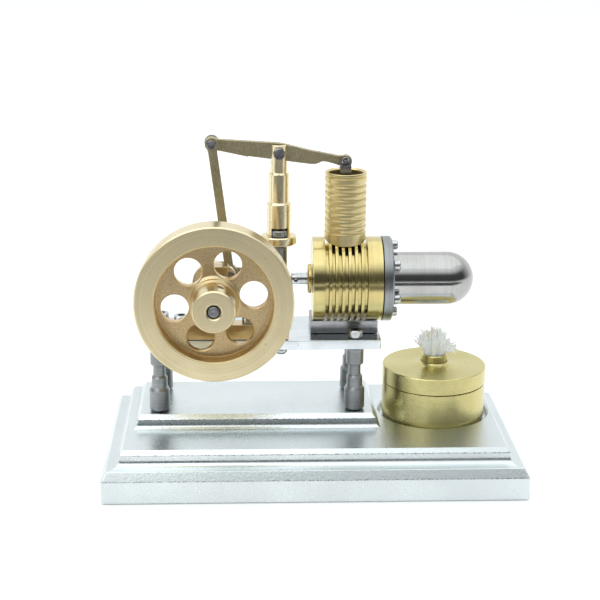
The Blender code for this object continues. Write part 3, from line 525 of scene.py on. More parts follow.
LOOKS = {
    # Flywheel: its dish colour darkens and warms the recessed web, partly its cast tone and partly
    # painted shade and warm reflection.
    "flywheel": worked_metal(
        "pale_turned_brass", (0.90, 0.78, 0.51), (0.78, 0.64, 0.38), 0.42, LATHE, 2700.0, pits=0.12,
        lines=0.2, side_polish=0.16, dish=(0.0090, 0.0207, (0.61, 0.42, 0.21))),
    "gold": worked_metal(
        "polished_gold_brass", (0.70, 0.60, 0.28), (0.58, 0.45, 0.18), 0.20, LATHE, 1700.0,
        aniso=0.3, lines=0.2),
    "ringed": worked_metal(
        "ringed_brass", (0.80, 0.68, 0.37), (0.68, 0.54, 0.26), 0.34, LATHE, 1700.0, lines=0.25),
    "burner": worked_metal(
        "spun_burner_brass", (0.65, 0.58, 0.27), (0.59, 0.51, 0.21), 0.27, LATHE, 1900.0, 0.0000015,
        pits=0.01, aniso=0.8, lines=0.08),
    "fork": worked_metal(
        "turned_fork_brass", (0.88, 0.77, 0.51), (0.78, 0.65, 0.41), 0.22, LATHE, 1500.0, 0.000003,
        pits=0.01, aniso=0.3, lines=0.1),
    "rods": worked_metal(
        "dull_cut_brass", (0.59, 0.52, 0.34), (0.41, 0.35, 0.22), 0.46, UPRIGHT, 2200.0, 0.00004,
        pits=0.08, lines=0.55),
    "steel": worked_metal(
        "dark_turned_steel", (0.37, 0.39, 0.40), (0.24, 0.23, 0.23), 0.32, LATHE, 1600.0, aniso=0.3),
    "pin": worked_metal("dark_pin_steel", (0.34, 0.34, 0.35), (0.20, 0.19, 0.19), 0.24, LATHE, 1600.0),
    "bright": worked_metal(
        "bright_turned_steel", (0.66, 0.68, 0.69), (0.48, 0.48, 0.48), 0.15, LATHE, 1600.0),
    # Crank disc: steel coloured a pale cream brass, a painted reflection of the lit brass flywheel in
    # front of it.
    "disc": worked_metal(
        "crank_disc_painted_reflection", (0.88, 0.80, 0.64), (0.70, 0.60, 0.44), 0.24, LATHE, 1600.0, lines=0.15),
    "ground": worked_metal("ground_steel", (0.56, 0.57, 0.59), (0.36, 0.35, 0.36), 0.26, ALONG_X, 1500.0),
    # Bearing bracket: ground steel tinted a brownish brass colour, a painted reflection of the brass
    # flywheel above it.
    "steel_with_painted_reflection": worked_metal(
        "ground_steel_painted_brass_reflection", (0.76, 0.60, 0.38), (0.52, 0.38, 0.21), 0.20, ALONG_X, 1500.0),
    "heater": worked_metal(
        "polished_stainless", (0.52, 0.52, 0.51), (0.40, 0.38, 0.36), 0.13, LATHE, 1300.0, 0.000006,
        pits=0.01, aniso=0.4, lines=0.15),
    "plinth": blasted_aluminium(
        "satin_aluminium", (0.77, 0.82, 0.83), (0.60, 0.64, 0.66), 0.26, (0.0083, 0.0156, 0.0203)),
    "deck": worked_metal(
        "milled_aluminium", (0.78, 0.83, 0.86), (0.62, 0.66, 0.69), 0.18, ALONG_X, 1300.0,
        pits=0.25, lines=0.1),
    "cotton": cotton("loose_cotton"),
}

# Nodes that wear each look; socket screws are bright, and every other node is steel.
WEARERS = {
    "flywheel": "flywheel",
    "gold": "displacer_cylinder gland_disc",
    "ringed": "power_cylinder",
    "burner": "burner_cup burner_lid wick_tube",
    "fork": "fulcrum_fork bush_front bush_back",
    "rods": "walking_beam connecting_rod displacer_link",
    "pin": "piston_link wrist_pin rod_pin fulcrum_screw crank_pin big_end_pin link_pin",
    "bright": "rod_guide displacer_rod rod_end",
    "disc": "crank_disc",
    "ground": "cylinder_saddle",
    "steel_with_painted_reflection": "bearing_bracket",
    "heater": "heater_cap",
    "plinth": "base_plinth",
    "deck": "deck_plate",
    "cotton": "wick",
}
LOOK_OF = {node: look for look, nodes in WEARERS.items() for node in nodes.split()}


def look_of(node):
    screw = node.startswith(("flange_screw", "screw_"))
    return LOOKS[LOOK_OF.get(node, "bright" if screw else "steel")]


# ---- stand

# Mouldings of the plinth and of the tier on it: inset and height, from the bottom up.
LOWER_SIDE = ((0.4, 0.0), (0.0, 0.4), (0.0, 8.3), (1.8, 11.4), (3.4, 11.6), (4.6, 11.9), (5.4, 12.4),
              (5.85, 13.1), (6.05, 13.9), (6.1, 15.6), (7.4, 17.2))
UPPER_SIDE = ((0.0, 0.0), (0.0, 1.2), (0.6, 1.65), (1.0, 2.1), (1.2, 2.7), (1.3, 3.4), (1.3, 4.3),
              (2.7, 6.0))
TIER_LOW = Vector((-65.3, -13.2))
TIER_HIGH = Vector((24.6, 26.9))
TIER_FOOT = 16.0
RECESS_RADIUS = 20.4
RECESS_FLOOR = 15.0
# Radius and height down a column, from below its top to above its foot.
COLUMN_SIDE = ((3.2, 39.9), (2.95, 39.55), (2.2, 39.5), (2.2, 35.5), (2.45, 35.4), (2.9, 34.7),
               (2.9, 31.1), (3.2, 30.9), (3.75, 29.9))
SCREW_HOLE = 1.5


def make_plinth():
    span = Span("base_plinth")
    cup = Span("burner_cup")
    lower = moulded("base_plinth_fine", span.mid, span.size / 2, LOWER_SIDE)
    side = [(inset, z + TIER_FOOT) for inset, z in UPPER_SIDE]
    tier = moulded("tier", (TIER_LOW + TIER_HIGH) / 2, (TIER_HIGH - TIER_LOW) / 2, side)
    top = LOWER_SIDE[-1][1]
    mouth = RECESS_RADIUS + 0.5
    well = [(0, top + 2), (mouth, top + 2), (mouth, top), (RECESS_RADIUS, top - 0.5),
            (RECESS_RADIUS, RECESS_FLOOR), (0, RECESS_FLOOR)]
    recess = revolve("recess", well, cup.centre("Z"), "Z", RING_STEPS)
    finish(settle(lower, [recess], [tier]), "base_plinth")


def make_columns():
    for end in ("front_left", "front_right", "rear_left", "rear_right"):
        span = Span("column_" + end)
        low, high = span.low.z, span.high.z
        head, foot = COLUMN_SIDE[0][0], COLUMN_SIDE[-1][0]
        points = [(0, high), (head - 0.2, high), (head, high - 0.2), *COLUMN_SIDE,
                  (foot, low + 0.5), (foot - 0.4, low), (0, low)]
        turned("column_" + end, points, edge=0.12)


def make_deck():
    span = Span("deck_plate")
    outline = rounded_ring(span.mid, span.size / 2, 1.5, 8)
    screws = (Span(name) for name in frame["nodes"] if name.startswith("screw_"))
    holes = [circle(SCREW_HOLE, screw.mid.xy) for screw in screws]
    deck = plate("deck_plate_fine", [outline, *holes], span.size.z, 0.3)
    deck.location.z = span.low.z * MM
    finish(settle(deck), "deck_plate")


BRACKET_BASE_TOP = 55.4
BRACKET_STEM_HALF = 4.8
BUSH_BODY = 3.0
SHAFT_BORE = 2.3


def make_bracket():
    """Inverted T of ground steel, its base bar along the deck's front edge."""
    span = Span("bearing_bracket")
    shaft = Span("crankshaft").mid
    low, high = span.low, span.high
    left, right = shaft.x - BRACKET_STEM_HALF, shaft.x + BRACKET_STEM_HALF
    corners = [(low.x, low.z), (high.x, low.z), (high.x, BRACKET_BASE_TOP), (right, BRACKET_BASE_TOP),
               (right, high.z), (left, high.z), (left, BRACKET_BASE_TOP), (low.x, BRACKET_BASE_TOP)]
    outlines = [soften(corners, 0.3, True), circle(BUSH_BODY + GAP, (shaft.x, shaft.z))]
    names = ("screw_bracket_left", "screw_bracket_right", "screw_front_left")
    holes = [drill(SCREW_HOLE, low.z - 1, BRACKET_BASE_TOP + 1, Span(name).centre("Z")) for name in names]
    upright("bearing_bracket", outlines, 0.25, cutters=holes)


def make_bushes():
    """Two bushes, each with its flange on the outside of the bracket."""
    for name in ("bush_front", "bush_back"):
        span = Span(name)
        low, high = span.low.y, span.high.y
        flange = span.size.x / 2
        step, near, far = low + 0.9, flange, BUSH_BODY
        if name == "bush_back":
            step, near, far = high - 0.5, BUSH_BODY, flange
        points = [(far, high), (far, step), (near, step), (near, low),
                  (SHAFT_BORE, low), (SHAFT_BORE, high)]
        turned(name, points, "Y", closed=True, edge=0.12)


def make_saddle():
    """Ground block hollowed to the cylinder's round."""
    span = Span("cylinder_saddle")
    cylinder = Span("displacer_cylinder")
    block = cube("cylinder_saddle_fine", span.low, span.high, 0.12)
    hollow = drill(cylinder.size.y / 2 + GAP, span.low.x - 2, span.high.x + 2,
                   cylinder.centre("X"), "X", RING_STEPS)
    finish(settle(block, [hollow]), "cylinder_saddle")


# ---- screws

SCREW_SHANK = 1.2
FLANGE_SCREWS = 6
KEY_RADIUS = 0.52  # of a key hole, as a share of its head's radius
KEY_DEPTH = 0.6  # as a share of the head's length


def key_hole(radius, low, high, at, axis):
    """Cutter for a hexagonal key hole."""
    return revolve("key", rod_points(radius, low, high), at, axis, 6)


def socket_screw(node, head_long, shank, axis="Z"):
    """Cap screw for a node, its head towards the axis's far end."""
    span = Span(node)
    i = "XYZ".index(axis)
    low, high = span.low[i], span.high[i]
    head = span.size[(i + 1) % 3] / 2
    key = key_hole(head * KEY_RADIUS, high - head_long * KEY_DEPTH, high + 1, span.centre(axis), axis)
    seat = high - head_long
    points = [(0, high), (head - 0.35, high), (head, high - 0.35), (head, seat),
              (shank, seat), (shank, low), (0, low)]
    turned(node, points, axis, edge=0.1, cutters=[key])


def make_screws():
    """All the cap screws, and the domed one that holds the bracket from below."""
    for name in ("front_left", "front_right", "rear_left", "rear_right", "bracket_left", "bracket_right"):
        socket_screw("screw_" + name, 2.7, SCREW_SHANK)
    for i in range(1, FLANGE_SCREWS + 1):
        socket_screw(f"flange_screw_{i}", 2.2, 0.8, "X")
    socket_screw("fulcrum_lock_screw", 2.2, SCREW_SHANK)
    span = Span("screw_bracket_clamp")
    top, low = span.high.z, span.low.z
    seat, head = low + 2.0, span.size.x / 2
    points = [(0, top), (SCREW_SHANK, top), (SCREW_SHANK, seat), (head, seat), (head, seat - 1.1),
              (head - 0.6, low), (0, low)]
    turned("screw_bracket_clamp", points)


# ---- cylinders and hot end

# Grooves round the displacer cylinder: how many, the first one's X, pitch, width and radius at the floor.
GROOVES = 7
GROOVE_FIRST = 5.0
GROOVE_PITCH = 2.33
GROOVE_WIDTH = 1.2
GROOVE_FLOOR = 12.9
DISPLACER_BORE = 9.9
DISPLACER_WALL = 2.5  # X of the end wall's inner face
ROD_BORE = 2.5
# Grooves round the power cylinder: number, lowest one's Z, pitch, width and depth; a thin one on top.
POWER_RINGS = 8
RING_FIRST = 87.1
RING_PITCH = 2.46
RING_WIDTH = 1.0
RING_DEPTH = 0.55
LIP_GROOVE = 107.2
POWER_BORE = 6.3
CAP_WALL = 0.7
FLANGE_BORE = 10.05
ROD_HOLE = 1.3
CAN_WALL = 0.6
CAN_BACK = 0.8


def grooves(radius, floor, width, pitch, count, first):
    """Square grooves down a turned side, the highest first."""
    out = []
    for i in reversed(range(count)):
        middle = first + pitch * i
        out += [(radius, middle + width / 2), (floor, middle + width / 2),
                (floor, middle - width / 2), (radius, middle - width / 2)]
    return out


def make_displacer_cylinder():
    span = Span("displacer_cylinder")
    power = Span("power_cylinder")
    low, high = span.low.x, span.high.x
    radius = span.size.y / 2
    points = [(radius, high)]
    points += grooves(radius, GROOVE_FLOOR, GROOVE_WIDTH, GROOVE_PITCH, GROOVES, GROOVE_FIRST)
    points += [(radius, low), (ROD_BORE, low), (ROD_BORE, DISPLACER_WALL),
               (DISPLACER_BORE, DISPLACER_WALL), (DISPLACER_BORE, high)]
    port = drill(1.6, span.mid.z + 8, span.high.z + 1, power.centre("Z"))
    turned("displacer_cylinder", points, "X", RING_STEPS, True, 0.18, [port])


def dome(radius, centre, steps=20):
    """Quarter round from the axis to the side."""
    points = [(0, centre + radius)]
    for i in range(1, steps + 1):
        angle = pi / 2 * i / steps
        points.append((radius * sin(angle), centre + radius * cos(angle)))
    return points


def make_hot_end():
    span = Span("heater_flange")
    low, high = span.low.x, span.high.x
    outer = span.size.y / 2
    screws = (Span(f"flange_screw_{i}") for i in range(1, FLANGE_SCREWS + 1))
    holes = [drill(1.1, low - 1, high + 1, screw.centre("X"), "X") for screw in screws]
    ring = [(outer - 0.5, high), (outer, high - 0.5), (outer, low),
            (FLANGE_BORE, low), (FLANGE_BORE, high)]
    turned("heater_flange", ring, "X", RING_STEPS, True, 0.15, holes)
    cap = Span("heater_cap")
    radius = cap.size.y / 2
    inner = radius - CAP_WALL
    middle = cap.high.x - radius
    shell = dome(radius, middle) + [(radius, cap.low.x), (inner, cap.low.x)] + dome(inner, middle)[::-1]
    turned("heater_cap", shell, "X", RING_STEPS, edge=0.1)


OIL_HOLE_X = -5.9


def make_gland():
    disc = Span("gland_disc")
    guide = Span("rod_guide")
    radius, bore = disc.size.y / 2, guide.size.y / 2 + GAP
    low, high = disc.low.x, disc.high.x
    points = [(radius, high), (radius, low + 0.45), (radius - 0.35, low), (bore, low), (bore, high)]
    turned("gland_disc", points, "X", RING_STEPS, True, 0.12)
    radius = guide.size.y / 2
    oil_hole = drill(0.75, guide.mid.y - 3, guide.mid.y, (OIL_HOLE_X, 0, guide.mid.z), "Y")
    points = [(radius, guide.high.x), (radius, guide.low.x + 0.3), (radius - 0.3, guide.low.x),
              (ROD_HOLE, guide.low.x), (ROD_HOLE, guide.high.x)]
    turned("rod_guide", points, "X", SMALL_STEPS, True, 0.1, [oil_hole])


def make_displacer():
    """Thin can with a round nose, and the rod through its back."""
    span = Span("displacer")
    radius = span.size.y / 2
    middle = span.high.x - radius
    low = span.low.x
    inner = radius - CAN_WALL
    can = dome(radius, middle) + [(radius, low), (ROD_HOLE, low), (ROD_HOLE, low + CAN_BACK),
                                  (inner, low + CAN_BACK)] + dome(inner, middle)[::-1]
    turned("displacer", can, "X", RING_STEPS, edge=0.12)
    rod = Span("displacer_rod")
    turned("displacer_rod", rod_points(rod.size.y / 2, rod.low.x, rod.high.x, 0.15), "X")


def make_power_cylinder():
    span = Span("power_cylinder")
    main = Span("displacer_cylinder")
    radius = span.size.y / 2
    top, low = span.high.z, span.low.z
    floor = radius - RING_DEPTH
    points = [(radius - 0.15, top), (radius, LIP_GROOVE + 0.3), (floor, LIP_GROOVE + 0.1),
              (floor, LIP_GROOVE - 0.2), (radius, LIP_GROOVE - 0.5)]
    points += grooves(radius, floor, RING_WIDTH, RING_PITCH, POWER_RINGS, RING_FIRST)
    points += [(radius, low), (POWER_BORE, low), (POWER_BORE, top - 0.6), (POWER_BORE + 0.5, top)]
    seat = drill(main.size.y / 2 + 0.05, main.low.x - 10, main.high.x + 10,
                 main.centre("X"), "X", RING_STEPS)
    turned("power_cylinder", points, "Z", RING_STEPS, True, 0.28, [seat])


def make_piston():
    """Cup open at the top, with two oil grooves."""
    span = Span("piston")
    radius = span.size.x / 2
    inner = radius - 1.0
    crown = Span("gudgeon_pin").mid.z - 3.6
    cup = [(0, crown), (inner, crown), (inner, span.high.z), (radius, span.high.z)]
    cup += grooves(radius, radius - 0.2, 0.5, 2.0, 2, span.low.z + 4.0)
    cup += [(radius, span.low.z), (0, span.low.z)]
    turned("piston", cup, "Z", RING_STEPS, edge=0.1)
    make_pin("gudgeon_pin")


PIN_HOLE = 1.3  # in the beam, and in the links that hang from it
LINK_HALF = 1.9  # half width of the piston link
LINK_FOOT = 2.9  # radius of its foot
FOOT_HOLE = 1.9  # wide enough for the piston's pin at every height


def make_piston_link():
    """Steel fork that hangs from the beam's end, its prongs round the beam."""
    wrist, gudgeon = Span("wrist_pin"), Span("gudgeon_pin")
    beam = Span("walking_beam")
    x, top, foot = wrist.mid.x, wrist.mid.z, gudgeon.mid.z
    side = arc((0, top - foot), LINK_HALF, 0, 180, 20) + arc((0, 0), LINK_FOOT, 139, 401, 30)
    outlines = [side, circle(PIN_HOLE, (0, top - foot)), circle(FOOT_HOLE)]
    slot = cube("slot", (x - 4, beam.low.y - GAP, top - 4.2), (x + 4, beam.high.y + GAP, top + 4))
    upright("piston_link", outlines, 0.25, (x, foot), cutters=[slot])
    make_pin("wrist_pin", 0.2, 0.1)


# ---- beam, rods and fulcrum

BEAM_ARM = 24.1
BEAM_TILT = radians(7.8)
# Edges of the level beam about its fulcrum, anticlockwise from its left eye.
BEAM_LOWER = ((-20.8, -2.25), (-10.9, -3.0), (-10.4, -2.75), (12.0, -2.6), (13.2, -2.45), (14.6, -1.85),
              (15.4, -1.25), (16.2, -1.0), (17.5, -1.0), (20.0, -1.3), (21.6, -1.6))
BEAM_UPPER = ((21.5, 1.65), (11.0, 2.25), (2.2, 3.2), (-0.5, 3.35), (-3.5, 3.1), (-21.5, 1.75))
CRANK_HOLE = 1.6  # where a rod's end goes round the crank pin
ROD_HALF = 1.6  # half width of the connecting rod
TANG_HOLE = 1.1
# Radius and height down the fork, from its top to its foot ring.
FORK_SIDE = ((2.8, 118.2), (3.1, 117.9), (3.1, 108.2), (3.3, 107.9), (3.7, 107.6), (3.7, 97.4),
             (4.0, 97.1), (4.4, 96.7), (4.4, 85.1), (6.1, 85.1), (6.5, 84.7))
FORK_SEAT = 85.1
DRIVER_TURN = radians(-62)


def make_beam():
    screw, pin = Span("fulcrum_screw"), Span("rod_pin")
    left = arc((-BEAM_ARM, 0), 2.4, 60, 290, 30)
    right = arc((BEAM_ARM, 0), 2.3, -130, 120, 30)
    outline = [*left, *BEAM_LOWER, *right, *BEAM_UPPER]
    holes = [circle(SCREW_HOLE), circle(PIN_HOLE, (-BEAM_ARM, 0)), circle(PIN_HOLE, (BEAM_ARM, 0))]
    upright("walking_beam", [outline, *holes], 0.2, (screw.mid.x, screw.mid.z), BEAM_TILT)
    low, high = pin.low.y, pin.high.y
    points = [(0, high), (2.6, high), (2.6, high - 0.9), (1.0, high - 0.9), (1.0, low + 0.8),
              (1.65, low + 0.8), (1.65, low + 0.15), (1.45, low), (0, low)]
    turned("rod_pin", points, "Y", edge=0.12)


def make_connecting_rod():
    top, foot = Span("rod_pin").mid, Span("big_end_pin").mid
    length = hypot(foot.x - top.x, foot.z - top.z)
    high, low = -2.6, 3.4 - length
    outline = [*arc((0, 0), 2.4, -42, 222, 30), (-ROD_HALF, high), (-ROD_HALF, low),
               *arc((0, -length), 3.0, 122, 418, 36), (ROD_HALF, low), (ROD_HALF, high)]
    holes = [circle(PIN_HOLE), circle(CRANK_HOLE, (0, -length))]
    turn = -atan2(foot.x - top.x, top.z - foot.z)
    upright("connecting_rod", [outline, *holes], 0.2, (top.x, top.z), turn)
    make_pin("big_end_pin")


def make_link():
    """The displacer's flat link, the headed pins at its ends, and the tang on the displacer's rod."""
    near, far = Span("rod_end_pin"), Span("link_pin")
    length = hypot(near.mid.x - far.mid.x, near.mid.z - far.mid.z)
    outline = arc((0, 0), 1.9, -70, 70, 24) + arc((-length, 0), 2.6, 40, 320, 36)
    holes = [circle(TANG_HOLE), circle(CRANK_HOLE, (-length, 0))]
    turn = asin((far.mid.z - near.mid.z) / length)
    upright("displacer_link", [outline, *holes], 0.2, (near.mid.x, near.mid.z), turn)
    for name, shank in (("rod_end_pin", 0.8), ("link_pin", 1.3)):
        pin = Span(name)
        head = pin.size.x / 2
        high, low = pin.high.y, pin.low.y
        seat = high - 0.7
        points = [(0, high), (head, high), (head, seat), (shank, seat), (shank, low), (0, low)]
        turned(name, points, "Y")
    half, reach = 1.7, 2.4
    tang = arc((0, 0), half, 90, 270, 24) + [(reach, -half), (reach, half)]
    upright("rod_end", [tang, circle(TANG_HOLE)], 0.12, (near.mid.x, near.mid.z))


def make_fulcrum():
    """Post with a flat for the displacer's rod, stepped fork, and the slotted screw the beam rocks on."""
    post = Span("fulcrum_post")
    fork = Span("fulcrum_fork")
    beam = Span("walking_beam")
    screw = Span("fulcrum_screw")
    lock = Span("fulcrum_lock_screw")
    radius = post.size.x / 2
    flat = cube("flat", (post.low.x - 2, 4.2, post.low.z + 5.7), (post.high.x + 2, 9.2, post.high.z - 5))
    points = rod_points(radius, post.low.z, post.high.z, 0.3)
    turned("fulcrum_post", points, edge=0.1, cutters=[flat], at=(post.mid.x, post.low.y + radius, 0))
    low = fork.low.z
    foot = FORK_SIDE[-1][0]
    points = [(0, FORK_SIDE[0][1]), *FORK_SIDE, (foot, low + 0.5), (foot - 0.5, low), (0, low)]
    x, z = fork.mid.x, screw.mid.z
    cuts = [cube("slot", (x - 4, beam.low.y - GAP, z - 3.9), (x + 4, beam.high.y + GAP, z + 6)),
            drill(SCREW_HOLE, fork.mid.y - 5, fork.mid.y + 5, (x, 0, z), "Y"),
            drill(2.9, FORK_SEAT, FORK_SEAT + 3.1, lock.centre("Z"), steps=SMALL_STEPS),
            drill(SCREW_HOLE, low - 1, FORK_SEAT + 0.9, lock.centre("Z"))]
    turned("fulcrum_fork", points, steps=RING_STEPS, edge=0.12, cutters=cuts)
    head = screw.size.x / 2
    back, front = screw.high.y, screw.low.y
    seat = front + 1.3
    points = [(0, back), (SCREW_SHANK, back), (SCREW_SHANK, seat), (head, seat),
              (head, front + 0.35), (head - 0.35, front), (0, front)]
    slot = cube("driver_slot", (-3.0, -1.1, -0.42), (3.0, 1.1, 0.42))
    slot.matrix_world = (Matrix.Translation(Vector((x, front, z)) * MM)
                         @ Matrix.Rotation(DRIVER_TURN, 4, "Y"))
    turned("fulcrum_screw", points, "Y", edge=0.12, cutters=[slot])


# ---- flywheel and crank

HUB_ROOT = 8.4
HUB_RADIUS = 7.55
RIM_INNER = 20.6
WEB_FRONT = -23.3
WEB_BACK = -20.3
FLY_BACK = -18.8
RIM_FRONT = -28.4
RIM_ROUND = 0.45
WEB_HOLES = 6
WEB_HOLE = 4.9
WEB_CIRCLE = 13.9  # radius of the circle that the holes' centres lie on
WEB_PHASE = radians(9.7)
HOLE_BEVEL = 0.35
GRUB_RADIUS = 1.0


def make_flywheel():
    """Dished wheel with a long hub, and the grub screw in the hub."""
    span = Span("flywheel")
    front, back = span.low.y, span.high.y
    radius = span.size.x / 2
    x, z = span.mid.x, span.mid.z
    section = [(radius - RIM_ROUND, FLY_BACK), (radius, FLY_BACK - RIM_ROUND),
               (radius, RIM_FRONT + RIM_ROUND), (radius - RIM_ROUND, RIM_FRONT),
               (RIM_INNER + 0.5, RIM_FRONT), (RIM_INNER, RIM_FRONT + 0.5),
               (RIM_INNER - 0.4, WEB_FRONT), (HUB_ROOT + 1.0, WEB_FRONT), (HUB_ROOT, WEB_FRONT - 0.7),
               (HUB_ROOT - 0.1, WEB_FRONT - 1.6), (HUB_RADIUS, WEB_FRONT - 2.3),
               (HUB_RADIUS, front + 0.7), (HUB_RADIUS - 0.5, front), (SHAFT_BORE + 0.65, front),
               (SHAFT_BORE, front + 0.65), (SHAFT_BORE, back), (HUB_RADIUS, back), (HUB_RADIUS, WEB_BACK),
               (RIM_INNER, WEB_BACK), (RIM_INNER, FLY_BACK)]
    mouth = WEB_HOLE + HOLE_BEVEL
    hole = [(0, WEB_BACK + 1), (mouth, WEB_BACK + 1), (mouth, WEB_BACK),
            (WEB_HOLE, WEB_BACK - HOLE_BEVEL), (WEB_HOLE, WEB_FRONT + HOLE_BEVEL),
            (mouth, WEB_FRONT), (mouth, WEB_FRONT - 1), (0, WEB_FRONT - 1)]
    cuts = []
    for i in range(WEB_HOLES):
        angle = WEB_PHASE + 2 * pi * i / WEB_HOLES
        at = (x + WEB_CIRCLE * cos(angle), 0, z + WEB_CIRCLE * sin(angle))
        cuts.append(revolve("web_hole", hole, at, "Y", SMALL_STEPS))
    screw = Span("hub_set_screw")
    lean = (0.0, atan2(screw.mid.x - x, screw.mid.z - z), 0.0)
    at = (x, screw.mid.y, z)
    tapped = drill(GRUB_RADIUS + GAP, 1.0, HUB_RADIUS + 2, at, steps=24)
    tapped.rotation_euler = lean
    turned("flywheel", section, "Y", FLYWHEEL_STEPS, True, 0.3, [*cuts, tapped])
    key = key_hole(0.5, 4.8, 8.0, at, "Z")
    key.rotation_euler = lean
    points = rod_points(GRUB_RADIUS, SHAFT_BORE, HUB_RADIUS - 0.8, 0.2)
    grub = revolve("hub_set_screw_fine", points, at, "Z", DRILL_STEPS)
    grub.rotation_euler = lean
    finish(settle(grub, [key]), "hub_set_screw")


def make_crankshaft():
    """Shaft with a centre mark in its front end, the disc on its back end, and the disc's crank pin."""
    shaft = Span("crankshaft")
    radius = shaft.size.x / 2
    low, high = shaft.low.y, shaft.high.y
    points = [(0, high), (radius - 0.3, high), (radius, high - 0.3), (radius, low + 0.35),
              (radius - 0.35, low), (0.55, low), (0, low + 0.4)]
    turned("crankshaft", points, "Y", edge=0.08)
    disc = Span("crank_disc")
    low, high = disc.low.y, disc.high.y
    outer, bore = disc.size.x / 2, radius + GAP
    hole = drill(1.8, low - 1, high + 1, Span("crank_pin").centre("Y"), "Y")
    ring = [(outer, high), (outer, low), (bore, low), (bore, high)]
    turned("crank_disc", ring, "Y", RING_STEPS, True, 0.35, [hole])
    make_pin("crank_pin")


# ---- burner

CUP_WALL = 0.9
TUBE_BORE = 3.9
# How the lid sweeps up to the wick tube: radius, and height above the lid's flat top.
FLARE = ((4.95, 0.0), (4.95, 1.3), (5.2, 0.95), (5.7, 0.55), (6.5, 0.25), (7.6, 0.09), (9.0, 0.02),
         (11.0, 0.0))
WICK_SEED = 11
WICK_CLUMPS = 24
CLUMP_STRANDS = 15
GOLDEN_TURN = 2 * pi * 0.618034
WISPS = ((pi + 0.2, 8.2, 5.4), (-0.15, 9.2, 2.2))  # each one's direction, reach and height
WISP_STRANDS = 44
STRAND_RADIUS = 0.21
STRAND_PARTS = 6
CRINKLE = 0.45  # how far a strand's tip strays


def make_burner():
    """Spun cup, its lid with a lip inside the cup, and the collared tube through the lid."""
    cup = Span("burner_cup")
    radius = cup.size.x / 2
    inner = radius - CUP_WALL
    low, high = cup.low.z, cup.high.z
    floor = low + CUP_WALL
    body = [(0, floor), (inner, floor), (inner, high), (radius, high), (radius, low + 1.3),
            (radius - 0.4, low + 0.9), (radius - 0.2, low + 0.4), (radius - 0.6, low), (0, low)]
    turned("burner_cup", body, "Z", BURNER_STEPS, edge=0.2)
    lid = Span("burner_lid")
    outer = lid.size.x / 2
    lip = inner - GAP
    foot, top = lid.low.z, lid.high.z
    seat, under = foot + 2.0, top - 1.0
    cover = [(outer - 0.3, top), (outer, top - 0.3), (outer, seat + 0.15), (outer - 0.15, seat),
             (lip, seat), (lip, foot), (lip - CUP_WALL, foot), (lip - CUP_WALL, under),
             (TUBE_BORE, under), (TUBE_BORE, top), *((reach, top + rise) for reach, rise in FLARE)]
    turned("burner_lid", cover, "Z", BURNER_STEPS, True, 0.12)
    tube = Span("wick_tube")
    collar, stem = tube.size.x / 2, TUBE_BORE - GAP
    base, mouth = tube.low.z, tube.high.z
    sleeve = [(collar - 0.35, mouth), (collar, mouth - 0.4), (collar, top + GAP), (stem, top + GAP),
              (stem, base), (stem - 0.6, base), (stem - 0.6, top + 1.0), (TUBE_BORE, top + 1.6),
              (TUBE_BORE, mouth)]
    turned("wick_tube", sleeve, "Z", RING_STEPS, True, 0.12)


def strand(rng, start, end, bow):
    """Points of one limp strand from start to end, bent by bow and crinkled a little."""
    points = []
    for k in range(STRAND_PARTS + 1):
        t = k / STRAND_PARTS
        stray = CRINKLE * t
        crinkle = Vector([rng.uniform(-stray, stray) for _ in range(3)])
        points.append(start.lerp(end, t) + bow * (4 * t * (1 - t)) + crinkle)
    return points


def polar(radius, angle, z):
    return Vector((radius * cos(angle), radius * sin(angle), z))


def wick_strands(rng, mouth, top):
    """Strands of the tuft about its own foot: the clumps of its head, then the wisps at its two sides."""
    tall = top - mouth
    for i in range(WICK_CLUMPS):
        share = sqrt((i + 0.5) / WICK_CLUMPS)
        angle = GOLDEN_TURN * i + rng.uniform(-0.3, 0.3)
        foot = polar(3.0 * share, angle, -0.6)
        height = tall * (1.12 - 0.28 * share ** 2) - rng.uniform(0.2, 1.6)
        tip = polar(5.0 * share + rng.uniform(-0.4, 0.8), angle, height)
        for _ in range(CLUMP_STRANDS):
            turn = rng.uniform(0.0, 2 * pi)
            start = foot + polar(rng.uniform(0.0, 0.6), turn, 0.0)
            end = start.lerp(tip, rng.uniform(0.6, 0.98)) + polar(rng.uniform(0.2, 1.7), turn, 0.0)
            yield strand(rng, start, end, polar(0.6 * share, angle, 0.3))
    for side, reach, height in WISPS:
        for _ in range(WISP_STRANDS):
            angle = side + rng.uniform(-0.55, 0.55)
            start = polar(rng.uniform(2.4, 3.6), angle, -0.4)
            end = polar(reach * rng.uniform(0.5, 1.0), angle, height + rng.uniform(-1.3, 1.3))
            yield strand(rng, start, end, Vector((0.0, 0.0, 1.1)))


def make_wick():
    span = Span("wick")
    tube = Span("wick_tube")
    curve = bpy.data.curves.new("wick_fine", "CURVE")
    curve.dimensions = "3D"
    curve.bevel_depth = STRAND_RADIUS * MM
    curve.bevel_resolution = 1
    curve.use_fill_caps = True
    for points in wick_strands(random.Random(WICK_SEED), tube.high.z, span.high.z):
        spline = curve.splines.new("POLY")
        spline.points.add(STRAND_PARTS)
        for k, point in enumerate(points):
            spline.points[k].co = (*(point * MM), 1.0)
            spline.points[k].radius = 1.1 - 0.4 * (k / STRAND_PARTS) ** 2
    mesh = curve_mesh("wick", curve)
    mesh.shade_smooth()
    wick = new_object("wick_fine", mesh)
    wick.location = Vector((span.mid.x, span.mid.y, tube.high.z)) * MM
    finish(wick, "wick")


# ---- stage

